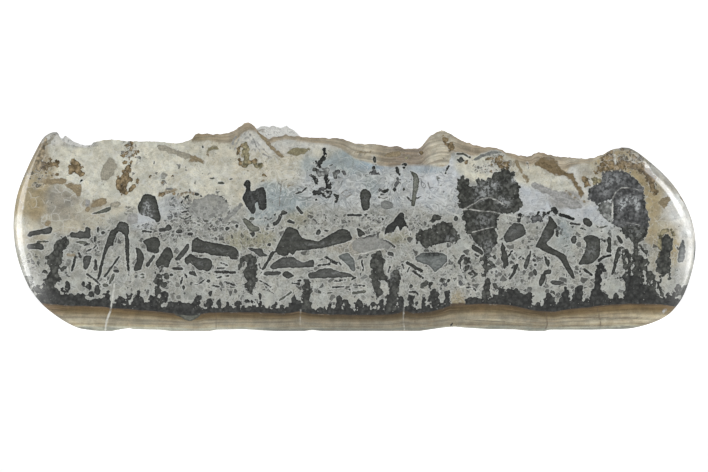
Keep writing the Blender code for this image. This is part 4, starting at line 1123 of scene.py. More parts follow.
# %% Tones and soft patches of the mud
GROUND_TONES = {
    "cream": (198, 196, 181), "warm cream": (187, 183, 167), "beige": (168, 163, 147),
    "mauve": (144, 140, 128), "mud": (159, 160, 153), "pale mud": (166, 168, 161),
    "grey mud": (146, 147, 140), "blue grey": (149, 158, 158), "pale blue": (167, 171, 171),
    "blue white": (184, 188, 191), "pool blue": (146, 161, 171), "white": (196, 195, 187),
    "tan": (160, 147, 116), "ochre": (150, 136, 108), "olive": (146, 144, 124), "grey": (150, 150, 147),
    # the last tone is near white and paints the highlight on the right shoulder
    "painted_highlight": (226, 226, 221),
}
PATCHES = {  # x, z, half width and half height of each, in mm
    "mud": [
        [-115,24, 14,12], [-88,20, 16,12], [-60,16, 20,8], [-30,20, 20,12], [0,20, 18,14], [30,22, 16,14],
        [62,24, 16,16], [90,20, 16,12], [112,22, 12,12], [-60,41, 22,4], [60,42, 10,5], [94,32, 12,10],
        [128,18, 6,6], [-10,44, 16,5], [20,44, 16,5],
    ],
    "pale mud": [
        [-112,20, 6,4], [-95,14, 6,4], [-67,15, 3,2], [74,14, 3,5], [103,18, 3,4], [-36,13, 4,3],
        [43,33, 4,5], [80,36, 4,3], [97,41, 5,3],
    ],
    "grey mud": [
        [-66,14, 10,3], [-100,34, 5,6], [-107,34, 5,4], [-13,43, 8,3], [-95,44, 5,3], [-128,26, 4,6],
        [48,26, 4,6], [15,44, 8,3],
    ],
    "cream": [
        [-105,70, 9,6], [-86,67, 6,7], [-74,64, 12,7], [-99,57, 8,5], [-62,64, 9,6], [-80,59, 8,4],
        [-52,60, 6,5], [-110,60, 6,4], [78,60, 7,3], [48,65, 5,2.5],
    ],
    "warm cream": [
        [-34,66, 8,5], [-69,63, 5,4], [-45,62, 6,5], [-52,68, 8,5], [-45,56, 4,3], [-129,42, 4,3],
        [-25,62, 5,4], [76,63, 6,3], [-100,46, 7,3], [62,66, 5,2], [-26,67, 5,3], [-12,71, 4,2],
    ],
    "beige": [
        [-113,44, 8,4], [-124,44, 4,3], [124,42, 5,6], [-128,37, 4,2], [122,26, 4,5], [-104,48, 7,3],
        [93,63, 4,3],
    ],
    "mauve": [[-119,53, 7,4], [-118,48, 5,3], [0,34, 8,2.5]],
    "blue grey": [
        [-18,66, 4,2.5], [-33,54, 5,5], [-25,52, 5,5], [83.5,37, 3,5], [-8,70, 6,3], [-37,45, 3,2],
        [7,59, 3,3], [0,66, 6,3],
    ],
    "pale blue": [
        [12,61, 8,4], [-2,56, 7,6], [18,54, 6,6], [-14,58, 8,5], [-74,49, 3,4], [35,52, 6,4], [-20,60, 5,4],
        [28,64.3, 7,1.2],
    ],
    "pool blue": [[29,64.3, 6,1.1], [6,66.4, 6,2]],
    "blue white": [[-84,43.6, 3.5,2], [71,51, 6,5], [31,57, 6,6], [98,45, 5,5], [90,47, 5,2], [36,61, 4,4]],
    "white": [
        # the patches at 133,30 and 124,61 are painted highlight on the right end; the others are white mud
        [133,30, 2,6], [-27,73.2, 7,2], [88,63, 6,3], [-8,73.5, 5,1.2], [93,56, 3,4], [52,65, 4,1.5],
        [124,61, 5,5], [-113,77, 6,1.6], [-40,76.5, 3,3], [-120,78, 4,1.6],
    ],
    # painted highlight: a near-white wash over the right shoulder, where the polish mirrors a lamp
    "painted_highlight": [[129,53, 5,7], [131,44, 3,6], [126.8,46.5, 2.6,4]],
    "tan": [
        [119,50, 3,6], [-127,51, 3.5,7], [116,58, 4,4], [-126.5,61, 4,6], [41,10, 2.5,4.5], [121,57, 3,4],
        [126,36, 3,7], [120,40, 3,4], [104,66, 8,3],
    ],
    "ochre": [[-128,68, 3,5], [-127,46, 2,2.5]],
    "olive": [[-129,28.5, 3,3], [-46,37, 4,3], [-38,37, 4,3], [-22,45, 4,3], [17,38, 3.5,1.8]],
    "grey": [[84,52.5, 6,2], [-108,74.5, 5,1]],
}
print(len(GROUND_TONES), "tones in", sum(len(spots) for spots in PATCHES.values()), "patches")

# %% Tones of the bed and the rind
LAYER_TONES = {
    "drab": (136, 126, 103), "tan": (154, 145, 127), "straw": (162, 150, 130), "bone": (182, 176, 159),
    "bark": (138, 128, 114), "umber": (84, 70, 54), "cigar": (99, 81, 52), "brown": (113, 96, 65),
    "biscuit": (142, 131, 106), "oat": (160, 152, 131), "sage": (148, 149, 136), "moss": (112, 114, 104),
}
RIND = [  # place along the slab and the tone of the rind there
    (-64, "drab"), (-50, "tan"), (-36, "straw"), (-10, "tan"), (5, "bone"), (11, "tan"), (17, "bark"),
    (26, "bark"), (31, "bone"), (36, "bone"), (41, "tan"), (52, "straw"), (60, "tan"), (75, "straw"),
    (98, "bone"),
]
BED = [  # height in the bed as a share of its thickness, and the tone there
    (0.0, "moss"), (0.17, "sage"), (0.27, "biscuit"), (0.34, "oat"), (0.5, "oat"), (0.64, "biscuit"),
    (0.8, "brown"), (0.93, "cigar"), (1.0, "umber"),
]
BED_LIGHT = [
    (-125, 0.98), (-75, 0.98), (-40, 0.87), (0, 0.83), (20, 0.82), (35, 0.87), (50, 1.04), (62, 0.98),
    (72, 0.9), (85, 0.97), (100, 1.06), (125, 1.12),
]
FOOT_LIGHT = [(-125, 1.2), (-70, 1.15), (-40, 0.96), (0, 0.9), (50, 0.93), (110, 1.14)]


def between_tones(stops, place):
    """The tone at each place, read between named stops."""
    rows = np.array([(at, *LAYER_TONES[name]) for at, name in stops])
    return np.column_stack([np.interp(place, rows[:, 0], rows[:, i]) for i in (1, 2, 3)])


print(len(LAYER_TONES), "tones in the layers")

# %% Ground, the soft colour under the shapes
PATCH_FADE = 1.6  # how quickly a patch fades outwards


def ground():
    """The colour of mud, rind and bed at each place."""
    total = np.full(u.shape, 1e-4)
    mixed = np.outer(total, linear(GROUND_TONES["mud"]))
    for name, spots in PATCHES.items():
        for x, z, half_x, half_z in spots:
            weight = np.exp(-PATCH_FADE * (((u - x) / half_x) ** 2 + ((v - z) / half_z) ** 2))
            weight = weight / (half_x * half_z) ** 0.5
            total = total + weight
            mixed = mixed + np.outer(weight, linear(GROUND_TONES[name]))
    mud = mixed / total[:, None]
    rind = between_tones(RIND, u)
    share = np.clip(v / bed_top, 0, 1)
    low_down = eased(-share, -0.4, -0.2)
    light = along(BED_LIGHT, u) * (1 - low_down) + along(FOOT_LIGHT, u) * low_down
    bed = between_tones(BED, share) * light[:, None]
    in_rind = eased(v - rind_base, -0.5, 0.5)[:, None]
    mud = mud * (1 - in_rind) + linear(rind) * in_rind
    in_bed = (v < bed_top + 0.8)[:, None]
    return np.where(in_bed, linear(np.minimum(bed, 255)), mud)


ground_tone = ground()
print("ground from", ground_tone.min().round(3), "to", ground_tone.max().round(3))

# %% Places of crumbs, specks and wisps
CRUMBS = [  # x, z, half width, half height and how thick they lie
    [-62,27, 66,17, 0.22], [10,27, 40,17, 0.22], [70,27, 50,17, 0.38], [-66,41, 20,4.5, 1],
    [-60,47, 9,3.5, 0.7], [8,43, 6,4, 0.7], [25,43, 5,3, 0.8], [66,44.5, 7,2.5, 0.9], [80,46, 5,2, 0.6],
    [99,41, 6,3, 0.5], [-105,33, 6,4, 0.8], [-123,64, 3,3, 0.7], [-127,60.5, 3,3.5, 0.6],
    [-128.5,28, 3,4, 0.5], [47,22, 4,5, 0.3], [-10,44, 12,4, 0.4], [-100,45, 5,2, 0.4], [66,22, 6,4, 0.4],
    [-88,70, 4,4, 0.3], [-70,19, 6,2, 0.5], [-53,18, 7,2, 0.4], [52,65, 6,2, 0.8], [102,68, 7,5, 0.6],
    [112,68, 9,4, 0.6], [119,58, 3,6, 0.3], [58,67, 5,4, 0.6], [-90,73, 4,4, 0.6], [-34,18, 4,2, 0.4],
    [-36,43, 4,3, 0.5], [-69.5,50, 4.5,4.5, 0.95], [-57,48.5, 7,5, 0.5], [-72,61, 16,7, 0.1],
    [124,14, 4,2, 0.5], [-90,48, 3,2, 0.4], [-85,60, 3,2, 0.2],
]
SPECKS = [
    [-60,26, 80,22, 0.8], [60,24, 80,22, 0.8], [0,46, 50,6, 0.8], [5,57, 40,8, 0.45], [72,50, 7,6, 0.25],
    [-85,62, 30,12, 0.1],
]
WISPS = [
    [-2,57, 38,9, 0.9], [33,56, 12,9, 1], [-85,62, 40,14, 0.5], [72,50, 9,6, 0.7], [80,60, 9,6, 0.6],
    [-35,66, 16,8, 0.6], [15,44, 14,3, 0.5], [97,46, 5,5, 0.6],
]
print(len(CRUMBS), "places of crumbs,", len(SPECKS), "of specks and", len(WISPS), "of wisps")

# %% Soft marks, and one painted glint
# x, z, half width, half height, turn, and how much lighter it is there, or darker below 0
MARKS_AND_GLINT = [
    [-82.6,49.4, 2,3, 10, 0.8], [-84.6,45.6, 2.4,1.6, 0, 1.2], [-80.4,46.3, 1.5,1.6, 0, 0.6],
    [-68,50.5, 4,3.4, 0, -0.2], [-56,50.5, 4.5,3, 0, -0.15], [-55,52.5, 4,1.2, 0, -0.2],
    [-14,35, 10,0.8, 4, 0.22], [-27,38, 1.6,1.6, 0, -0.25], [-3,38.6, 2,1.2, 0, -0.25],
    [-24.5,36.8, 1.4,1.2, 0, 0.2], [-56,32.8, 8,0.7, -14, 0.2], [-25,27.3, 6,0.9, 0, 0.2],
    [-8,23.2, 6,0.8, 0, 0.2], [-61,27.2, 3,1.2, -15, 0.16], [31,30.6, 5.4,1.5, 0, -0.65],
    [38.5,37.4, 3,1.6, 8, 0.3], [17,38.7, 3.4,1.6, 0, 0.3], [53,57, 6,3, 8, 0.5],
    [59.6,51.4, 3.2,3, 0, 0.55], [50,53.3, 4,2, 15, 0.35], [51.5,44, 4,3.6, 0, 0.3], [53,33.5, 3,4, 0, 0.3],
    [56.4,24, 2.5,4, 0, 0.15], [62,60, 3.5,4, 0, 0.06], [-39.5,53, 4.5,5.5, 0, 0.1],
    [63.6,60.4, 1.1,1.2, 0, 0.9], [-92.5,57.6, 1,2.6, 0, -0.7], [56.2,59, 1.2,0.8, 30, 0.8],
    [45.5,55, 1.4,4, 0, -0.15], [76.6,66.4, 4,0.9, -28, -0.4], [83,63.4, 3,0.8, -24, -0.35],
    [78.2,68.4, 3,0.7, -20, 0.2], [94.5,32.4, 2.4,3.6, -10, 0.25], [92.6,36.8, 2.4,1, 0, -0.2],
    [63.5,40, 2.6,1.8, 30, 0.15], [76,38.5, 1.6,4, 25, 0.15], [14.8,22, 1.8,3, 0, 0.2],
    [-41.5,27, 1.6,1.6, 0, 0.12], [-92.5,41.5, 2,1.2, 0, 0.12], [24.6,57, 1,5, 0, 0.3],
    [4.4,52.8, 1.2,2, 0, 0.12],
    # inside the dome: a pale heart, a dark lump under it and a dark arch round both
    [106.8,50.2, 1.8,2.6, 0, 1.25], [110.4,52.6, 3,1.7, 0, 1.25], [113,50, 1.2,2.4, 0, 0.95],
    [108.8,46, 3.4,2.2, 0, -0.5], [104,48, 1,4.5, 0, -0.5], [105.2,54, 1.4,2, -20, -0.35],
    [110,55.8, 4,1, 0, -0.45], [115.6,49, 0.9,6, 0, -0.45], [95.6,54.4, 2.6,3, 0, -0.35],
    [103.5,60.4, 4.5,2.6, 0, 0.4], [100.2,56, 2.4,3, 0, 0.25], [112,39.5, 4,2.5, 0, 0.2],
    # a painted glint: a small pale highlight on the bed near the right end
    [123.5,8, 1.2,0.7, 30, 0.9],
]

MARK_FADE, MARK_FLATNESS = 1.4, 1.5  # how quickly a mark fades, and how even its middle is


def soft_marks_and_glint():
    """How much lighter or darker the stone is, beyond its shapes, with one painted glint."""
    total = np.zeros(u.shape)
    for x, z, half_x, half_z, turn, amount in MARKS_AND_GLINT:
        across, up = turned(u - x, v - z, turn)
        spread = (across / half_x) ** 2 + (up / half_z) ** 2
        total += amount * np.exp(-MARK_FADE * spread**MARK_FLATNESS)
    return total


marks_and_glint = soft_marks_and_glint()
print(len(MARKS_AND_GLINT), "marks, the darkest", marks_and_glint.min().round(2))

# %% Masks, 1 where a thing shows fully
def soft_mask(spots):
    mask = np.zeros(u.shape)
    for x, z, half_x, half_z, amount in spots:
        reach = np.hypot((u - x) / half_x, (v - z) / half_z)
        mask = np.maximum(mask, amount * eased(-reach, -1.25, -0.7))
    return mask


BED_LAYERS = 9.0  # mm of layers in the bed, which are squeezed where it is thin
RIND_FOLLOWS_CREST = 0.65  # the rest of the way, the rind's layers follow its base

clear = eased(v - bed_top, 0.5, 1.5) * (1 - eased(v - rind_base, -0.5, 0.5))
crumbs, specks, wisps = (soft_mask(spots) * clear for spots in (CRUMBS, SPECKS, WISPS))
calm = soft_mask([[*spot, 1.0] for spot in PATCHES["pale mud"]])
crumbs, specks = crumbs * (1 - 0.85 * calm), specks * (1 - 0.6 * calm)
to_end = from_ends(places[0], places[2])
# rim is 1 along the outline of the ends: there the polished face is drawn darker, as painted shade, and
# rougher
rim = eased(to_end, 1.6, 0.4)
rolled = eased(to_end, 8, 5) * eased(to_end, 1.0, 1.8) * eased(places[2], 8, 24) * (places[1] < 0)
layered = np.maximum(1 - eased(v - bed_top, -0.4, 0.4), eased(v - rind_base, -0.6, 0.6))
crest_above = highest(np.clip(u, -118, 106))
rind_fold = RIND_FOLLOWS_CREST * crest_above + (1 - RIND_FOLLOWS_CREST) * rind_base
fold = np.where(v < bed_top + 1, BED_LAYERS * v / bed_top, v - rind_fold)
print("crumbs cover", (crumbs > 0.3).mean().round(3), "of the skin")

# %% Store it all on the mesh
def store(name, values):
    kind = "FLOAT" if values.ndim == 1 else "FLOAT_COLOR"
    attribute = mesh.attributes.new(name, kind, "POINT")
    if values.ndim == 1:
        attribute.data.foreach_set("value", values.astype(np.float32))
    else:
        full = np.column_stack([values, np.ones(len(values))])
        attribute.data.foreach_set("color", full.astype(np.float32).ravel())


for name, values in {
    "growth_edge": growth_edge, "growth_tone": growth_tone, "chip_edge": chip_edge,
    "chip_tone": chip_tone, "ground_tone": ground_tone, "bed_edge": v - bed_top,
    "pale_vein": pale_vein, "dark_crack": dark_crack, "crumbs": crumbs, "specks": specks,
    "wisps": wisps, "layered": layered, "fold": fold, "crease": crease, "rolled": rolled, "rim": rim,
    "marks_and_glint": marks_and_glint,
}.items():
    store(name, values)
print(len(mesh.attributes), "attributes on the mesh")

# %% [markdown]
# ## Materials
#
# Distances make sharper edges than colours do: a colour blurs between two points of the mesh, but
# the line where a distance passes zero stays crisp, and noise added to the distance frays it. So
# the figure is a shader node group that reads the distances, and the polished face and the sawn
# back both use it. Small helpers keep the node code short. They add their nodes to the tree that
# is being built at the time, so each group and each material starts by naming its tree.

# %% Helpers for nodes
def wire(socket, value):
    """Links an output to a socket, or sets the socket's own value."""
    if isinstance(value, bpy.types.NodeSocket):
        tree.links.new(value, socket)
    else:
        socket.default_value = value


def add(kind, sockets=None, **settings):
    """Adds a shader node. sockets maps an input's name or number to a value or an output."""
    made = tree.nodes.new("ShaderNode" + kind)
    for name, value in settings.items():
        setattr(made, name, value)
    for name, value in (sockets or {}).items():
        wire(made.inputs[name], value)
    return made


def calc(operation, first, second=0.0, third=0.0):
    return add("Math", {0: first, 1: second, 2: third}, operation=operation).outputs[0]


def product(*values):
    total = values[0]
    for value in values[1:]:
        total = calc("MULTIPLY", total, value)
    return total


def step(value, low, high, start=0.0, end=1.0):
    """A smooth step from start to end as value goes from low to high."""
    sockets = {"Value": value, "From Min": low, "From Max": high, "To Min": start, "To Max": end}
    return add("MapRange", sockets, interpolation_type="SMOOTHSTEP").outputs["Result"]


def blend(share, under, over, mode="MIX"):
    return add("Mix", {0: share, 6: under, 7: over}, data_type="RGBA", blend_type=mode).outputs[2]


def shaded(colour, *factors):
    """The colour made lighter or darker by some factors."""
    return blend(1.0, colour, product(*factors), "MULTIPLY")


def faded(factor, share):
    """A factor for shaded, drawn back towards 1 as share falls to 0."""
    return calc("MULTIPLY_ADD", calc("SUBTRACT", factor, 1.0), share, 1.0)


def parts(colour):
    """The red, green and blue of a colour."""
    return add("SeparateColor", {"Color": colour}).outputs


def brownness(hue):
    """1 where the red, green and blue in hue are a brown's, 0 where they are a grey's."""
    return step(calc("SUBTRACT", hue["Red"], hue["Blue"]), 0.03, 0.07)


def stored(name, output="Fac"):
    return add("Attribute", attribute_name=name).outputs[output]


print("helpers for nodes are ready")

# %% Helpers for noise
def grain(point, size, detail=2.0, rough=0.5):
    """Noise with grains of this size in mm, about 0.5 on average."""
    sockets = {"Vector": point, "Scale": 1 / size, "Detail": detail, "Roughness": rough}
    return add("TexNoise", sockets).outputs["Fac"]


def roughened(value, point, size, depth, detail=2.0, rough=0.5):
    """The value moved up or down by noise of this size, by less than half of depth."""
    uneven = calc("SUBTRACT", grain(point, size, detail, rough), 0.5)
    return calc("MULTIPLY_ADD", uneven, depth, value)


def contour(height, lines):
    """Goes to and fro between 0 and 0.5 as height rises, so it is 0 along lines of one height."""
    return calc("PINGPONG", product(height, lines), 0.5)


def cells(point, size, feature="F1"):
    """Rounded cells of this size in mm."""
    return add("TexVoronoi", {"Vector": point, "Scale": 1 / size}, feature=feature).outputs


def stretched(point, scale):
    return add("VectorMath", {0: point, 1: scale}, operation="MULTIPLY").outputs[0]


def warped(point, size, amount):
    """The place, pushed about by noise of this size, both in mm, so that cells lose their roundness."""
    push = add("TexNoise", {"Vector": point, "Scale": 1 / size, "Detail": 1.0}).outputs["Color"]
    push = stretched(push, (amount, amount, amount))
    return add("VectorMath", {0: point, 1: push}, operation="ADD").outputs[0]


print("helpers for noise are ready")

# %% Helpers for groups
FLOAT, COLOUR, VECTOR = "NodeSocketFloat", "NodeSocketColor", "NodeSocketVector"


def new_group(name, inputs, outputs):
    """An empty node group with named sockets, given as (name, kind, default)."""
    group = bpy.data.node_groups.new(name, "ShaderNodeTree")
    for title, kind, default in inputs:
        socket = group.interface.new_socket(title, in_out="INPUT", socket_type=kind)
        if default is not None:
            socket.default_value = default
    for title, kind in outputs:
        group.interface.new_socket(title, in_out="OUTPUT", socket_type=kind)
    return group, group.nodes.new("NodeGroupInput").outputs, group.nodes.new("NodeGroupOutput").inputs


def use(group, **sockets):
    return add("Group", sockets, node_tree=group).outputs


print("helpers for groups are ready")

# %% [markdown]
# ### Two small effects
#
# Frayed edges and sprinkled grains turn up in every part of the stone, so each is a group of its
# own. Growths fray into round lobes, which rounded cells give, and then into finer teeth. Grains
# are cells of which only a share is kept, so that they lie apart.

# %% Frayed edge
LOBE, BUD, TOOTH = 1.9, 0.85, 0.5  # the size of a growth's lobes, and of buds and teeth on them, in mm
LOBE_DEPTH, BUD_DEPTH, TOOTH_DEPTH = 1.7, 0.75, 0.45

frayed_edge, inlet, outlet = new_group(
    "frayed_edge",
    [("Edge", FLOAT, 0.0), ("Point", VECTOR, None), ("Fray", FLOAT, 1.0)],
    [("Edge", FLOAT), ("Lobe", FLOAT)],
)
tree, point, frayed = frayed_edge, inlet["Point"], inlet["Edge"]
lobes = cells(point, LOBE)["Distance"]
buds = cells(point, BUD)["Distance"]
for bump_out, depth in ((lobes, LOBE_DEPTH), (buds, BUD_DEPTH)):
    swell = product(calc("SUBTRACT", bump_out, 0.5), depth, inlet["Fray"])
    frayed = calc("ADD", frayed, swell)
wire(outlet["Edge"], roughened(frayed, point, TOOTH, TOOTH_DEPTH))
wire(outlet["Lobe"], lobes)
print("group:", frayed_edge.name, len(tree.nodes), "nodes")

# %% Sprinkled grains
sprinkle, inlet, outlet = new_group(
    "sprinkled_grains",
    [("Point", VECTOR, None), ("Size", FLOAT, 1.0), ("Share", FLOAT, 0.3), ("Width", FLOAT, 0.32)],
    [("Mask", FLOAT)],
)
tree, point = sprinkle, inlet["Point"]
drop = add("TexVoronoi", {"Vector": point, "Scale": calc("DIVIDE", 1.0, inlet["Size"])}).outputs
kept = calc("LESS_THAN", parts(drop["Color"])["Red"], inlet["Share"])
ragged = calc("MULTIPLY_ADD", grain(point, 0.35), 0.3, drop["Distance"])
body = calc("SUBTRACT", ragged, calc("ADD", inlet["Width"], 0.15))
wire(outlet["Mask"], product(kept, step(body, 0.06, -0.06)))
print("group:", sprinkle.name, len(tree.nodes), "nodes")

# %% [markdown]
# ### The figure
#
# The group lays the stone up in the order it formed: mud with its specks, crumbs and wisps, then
# the chips with their dark skins and pale halos, then the growths, then the brown bed that cuts
# them off below, and last the cracks and veins that run through all of it.

# %% Mud
COOL, WARM = (0.985, 1.0, 1.015, 1), (1.02, 1.0, 0.965, 1)  # these two multiply the mud's own tone

figure, inlet, outlet = new_group(
    "stromatolite_figure",
    [("Point", VECTOR, None), ("Fray", FLOAT, 1.0)],
    [("Colour", COLOUR), ("Dark", FLOAT)],
)
tree, point = figure, inlet["Point"]
uneven = warped(point, 1.9, 1.3)
mud = stored("ground_tone", "Color")
specks_here = stored("specks")
crumbs_here = stored("crumbs")
wisps_here = stored("wisps")
layered_here = stored("layered")
loose = calc("SUBTRACT", 1.0, layered_here)
cloud = step(grain(point, 3.0, 4, 0.6), 0.35, 0.65, 0.84, 1.14)
fine = step(grain(point, 0.5, 3, 0.65), 0.3, 0.7, 0.87, 1.1)
mud = shaded(mud, cloud, fine)
warmth = step(grain(point, 3.7, 3), 0.35, 0.65)
mud = blend(1.0, mud, blend(warmth, COOL, WARM), "MULTIPLY")
print("mud laid with", len(tree.nodes), "nodes")

# %% Wrinkles and nodules in the mud
NODULE = 3.6  # mm across
NODULE_RIM = (0.62, 0.62, 0.58, 1)

wrinkle = contour(grain(uneven, 2.6, 2), 4.5)
wrinkled = step(grain(point, 2.1), 0.42, 0.58)
wrinkle = product(step(wrinkle, 0.14, 0.0), wrinkled, loose)
mud = shaded(mud, step(wrinkle, 0, 1, 1.0, 0.74))

# soft nodules, each a little lighter or darker, with faint rims
swollen = warped(point, 5.0, 4.0)
nodule = parts(cells(swollen, NODULE)["Color"])
mud = shaded(mud, faded(step(nodule["Red"], 0, 1, 0.9, 1.07), loose))
nodule_edge = cells(swollen, NODULE, "DISTANCE_TO_EDGE")["Distance"]
nodule_here = step(grain(point, 4.0), 0.45, 0.6)
nodule_rim = product(step(nodule_edge, 0.07, 0.0), nodule_here, loose, 0.45)
mud = blend(nodule_rim, mud, NODULE_RIM)
print("wrinkles and nodules added:", len(tree.nodes), "nodes")

# %% Pepper, salt and specks
SALT = (0.56, 0.57, 0.54, 1)

peppered = grain(point, 0.75, 3, 0.6)
pepper = product(step(peppered, 0.5, 0.66), specks_here, 0.6)
salt = product(step(peppered, 0.47, 0.36), specks_here, 0.45)
mud = shaded(mud, step(pepper, 0.0, 1.0, 1.0, 0.25))
mud = blend(salt, mud, SALT)
speck_share = calc("MULTIPLY_ADD", specks_here, 0.2, 0.09)
speck = use(sprinkle, Point=uneven, Size=1.4, Share=speck_share, Width=0.17)["Mask"]
mud = shaded(mud, step(product(speck, loose), 0, 1, 1.0, 0.38))
print("specks added:", len(tree.nodes), "nodes")

# %% Crumbs and wisps
LIME_RIM = (0.52, 0.53, 0.5, 1)
PALE_WISP = (0.64, 0.66, 0.65, 1)

# a share of the cells become crumbs, dark to grey, each in a pale rim
plain = mud
for size, share in ((2.3, 1.0), (1.2, 0.8)):
    kind = parts(cells(uneven, size)["Color"])
    inside = cells(uneven, size, "DISTANCE_TO_EDGE")["Distance"]
    kept = calc("LESS_THAN", kind["Blue"], product(crumbs_here, share))
    tone = shaded(plain, step(kind["Green"], 0.1, 0.95, 0.22, 0.88))
    mud = blend(product(kept, step(inside, 0.0, 0.04), 0.5), mud, LIME_RIM)
    mud = blend(product(kept, step(inside, 0.05, 0.13), 0.95), mud, tone)

# wisps are lines of one height in slow noise, so they swirl about one another
drawn_out = stretched(point, (0.75, 0.7, 1.1))
swirl = add("TexNoise", {"Vector": drawn_out, "Scale": 0.15, "Detail": 1.5, "Distortion": 1.3})
ripple = contour(swirl.outputs["Fac"], 7.0)
broken_up = step(grain(point, 3.0), 0.4, 0.54)
dark_wisp = product(step(ripple, 0.11, 0.0), broken_up, wisps_here, 0.75)
mud = shaded(mud, step(dark_wisp, 0, 1, 1.0, 0.2))
pale_wisp = product(step(ripple, 0.37, 0.46), wisps_here, 0.6)
mud = blend(pale_wisp, mud, PALE_WISP)
print("crumbs and wisps added:", len(tree.nodes), "nodes")

# %% Layers in the bed and the rind
ALONG_LAYER = 0.035, 0.04  # how little a layer changes along x and y, beside its change across
OCHRE = (0.3, 0.2, 0.11, 1)

across_layers = roughened(stored("fold"), point, 9.0, 0.9, 2)
flat = stretched(point, (*ALONG_LAYER, 0.0))
upright = add("CombineXYZ", {"Z": across_layers}).outputs[0]
layer_place = add("VectorMath", {0: flat, 1: upright}, operation="ADD").outputs[0]
layer_light = step(grain(layer_place, 0.9, 3, 0.6), 0.32, 0.68, 0.7, 1.22)
mud = shaded(mud, faded(layer_light, layered_here))
ochre_streak = step(grain(layer_place, 0.5, 2), 0.58, 0.66)
mud = blend(product(ochre_streak, layered_here, 0.35), mud, OCHRE)
print("layers added:", len(tree.nodes), "nodes")

# %% Chips
HALO = (0.6, 0.61, 0.58, 1)
FLECK = (0.4, 0.41, 0.38, 1)

# pale and brown chips are softer than the dark ones, and more worn at the edge
chip = stored("chip_tone", "Color")
hue = parts(chip)
pale_chip = calc("MAXIMUM", step(hue["Green"], 0.1, 0.24), brownness(hue))
chip_line = roughened(stored("chip_edge"), point, 1.7, step(pale_chip, 0, 1, 0.9, 2.2))
chip_line = roughened(chip_line, point, 0.5, 0.5)
bed_line = stored("bed_edge")
not_bed = step(bed_line, 0.2, 0.8)
halo = step(chip_line, 0.15, 0.5, 1.0, 0.0)
halo_here = step(grain(point, 2.0), 0.35, 0.62, 0.15, 1.0)
halo = product(halo, step(pale_chip, 0, 1, 0.72, 0.15), not_bed, halo_here)
mud = blend(halo, mud, HALO)

# each chip has streaks, a darker skin and a few pale flecks
streak = grain(stretched(point, (0.45, 0.5, 1.1)), 1.4, 3, 0.6)
streak = faded(step(streak, 0.36, 0.64, 0.76, 1.34), step(pale_chip, 0, 1, 1.0, 0.5))
chip_fine = step(grain(point, 0.6, 3, 0.6), 0.36, 0.64, 0.84, 1.18)
chip_skin = step(chip_line, -0.9, -0.1, 1.12, step(pale_chip, 0, 1, 0.5, 0.92))
chip = shaded(chip, streak, chip_fine, chip_skin)
fleck = use(sprinkle, Point=uneven, Size=1.4, Share=0.2, Width=0.14)["Mask"]
chip = blend(product(fleck, 0.35), chip, FLECK)
chip = blend(product(pale_chip, crumbs_here, 0.75), chip, mud)
soft = step(pale_chip, 0, 1, 0.11, 0.3)
chip_mask = step(calc("DIVIDE", chip_line, soft), 1.0, -1.0)
stone = blend(chip_mask, mud, chip)
print("chips added:", len(tree.nodes), "nodes")

# %% Growths
SPARK = (0.42, 0.43, 0.4, 1)
BUFF = (0.5, 0.46, 0.38, 1)

lobed = warped(point, 1.3, 0.8)
grown = use(frayed_edge, Edge=stored("growth_edge"), Point=lobed, Fray=inlet["Fray"])
growth_line = grown["Edge"]
mottle = step(grain(point, 1.1, 3, 0.6), 0.35, 0.65, 0.68, 1.55)
core = step(grown["Lobe"], 0.25, 0.7, 1.3, 0.66)
growth_skin = step(growth_line, -1.2, -0.1, 1.08, 0.78)
growth = shaded(stored("growth_tone", "Color"), mottle, core, growth_skin)
spark = use(sprinkle, Point=uneven, Size=1.0, Share=0.2, Width=0.15)["Mask"]
spark_here = step(grain(point, 3.0), 0.42, 0.58, 0.15, 0.75)
growth = blend(product(calc("MAXIMUM", spark, fleck), spark_here), growth, SPARK)

# brown growths are crumbly, with buff mud along their cracks
brown = brownness(parts(growth))
broken = step(cells(uneven, 1.8, "DISTANCE_TO_EDGE")["Distance"], 0.1, 0.02)
broken = product(broken, step(grain(point, 2.6), 0.42, 0.6, 0.15, 1.0))
crumbly = step(crumbs_here, 0.3, 0.6, 0.05, 0.6)
growth = blend(product(broken, brown, crumbly), growth, BUFF)
rim_glow = step(growth_line, 0.05, 0.5, 1.0, 0.0)
rim_glow = product(rim_glow, not_bed, step(brown, 0, 1, 0.5, 0.15))
stone = blend(rim_glow, stone, LIME_RIM)
above_bed = step(roughened(bed_line, point, 2.2, 0.5), -0.15, 0.15)
growth_mask = product(step(growth_line, 0.1, -0.1), above_bed)
stone = blend(growth_mask, stone, growth)
print("growths added:", len(tree.nodes), "nodes")

# %% Soft marks, lighter and darker, and a painted glint
PALE_MARK_AND_GLINT = (0.46, 0.48, 0.48, 1)

blotchy = step(grain(point, 1.0, 3, 0.6), 0.3, 0.65, 0.6, 1.2)
marks_and_glint = product(stored("marks_and_glint"), blotchy)
darker = calc("MINIMUM", product(marks_and_glint, -1.0), 0.85)
stone = shaded(stone, step(darker, 0.0, 1.0, 1.0, 0.0))
flaky = step(grain(point, 1.1, 3, 0.6), 0.46, 0.56, 0.12, 1.0)
lighter = calc("MINIMUM", calc("MAXIMUM", product(marks_and_glint, flaky), 0.0), 0.8)
stone = blend(lighter, stone, PALE_MARK_AND_GLINT)
print("marks added:", len(tree.nodes), "nodes")

# %% Cracks and veins
CALCITE = (0.62, 0.62, 0.57, 1)
CRACK_FILL = (0.1, 0.075, 0.05, 1)

vein = step(roughened(stored("pale_vein"), point, 0.8, 0.5), 0.2, -0.1)
vein = product(vein, step(grain(point, 1.6), 0.3, 0.6, 0.2, 0.85))
stone = blend(vein, stone, CALCITE)
crack = step(roughened(stored("dark_crack"), point, 0.8, 0.4), 0.25, -0.05)
stone = blend(product(crack, 0.65), stone, CRACK_FILL)
wire(outlet["Colour"], stone)
wire(outlet["Dark"], calc("MAXIMUM", chip_mask, growth_mask))
print("the figure has", len(tree.nodes), "nodes")
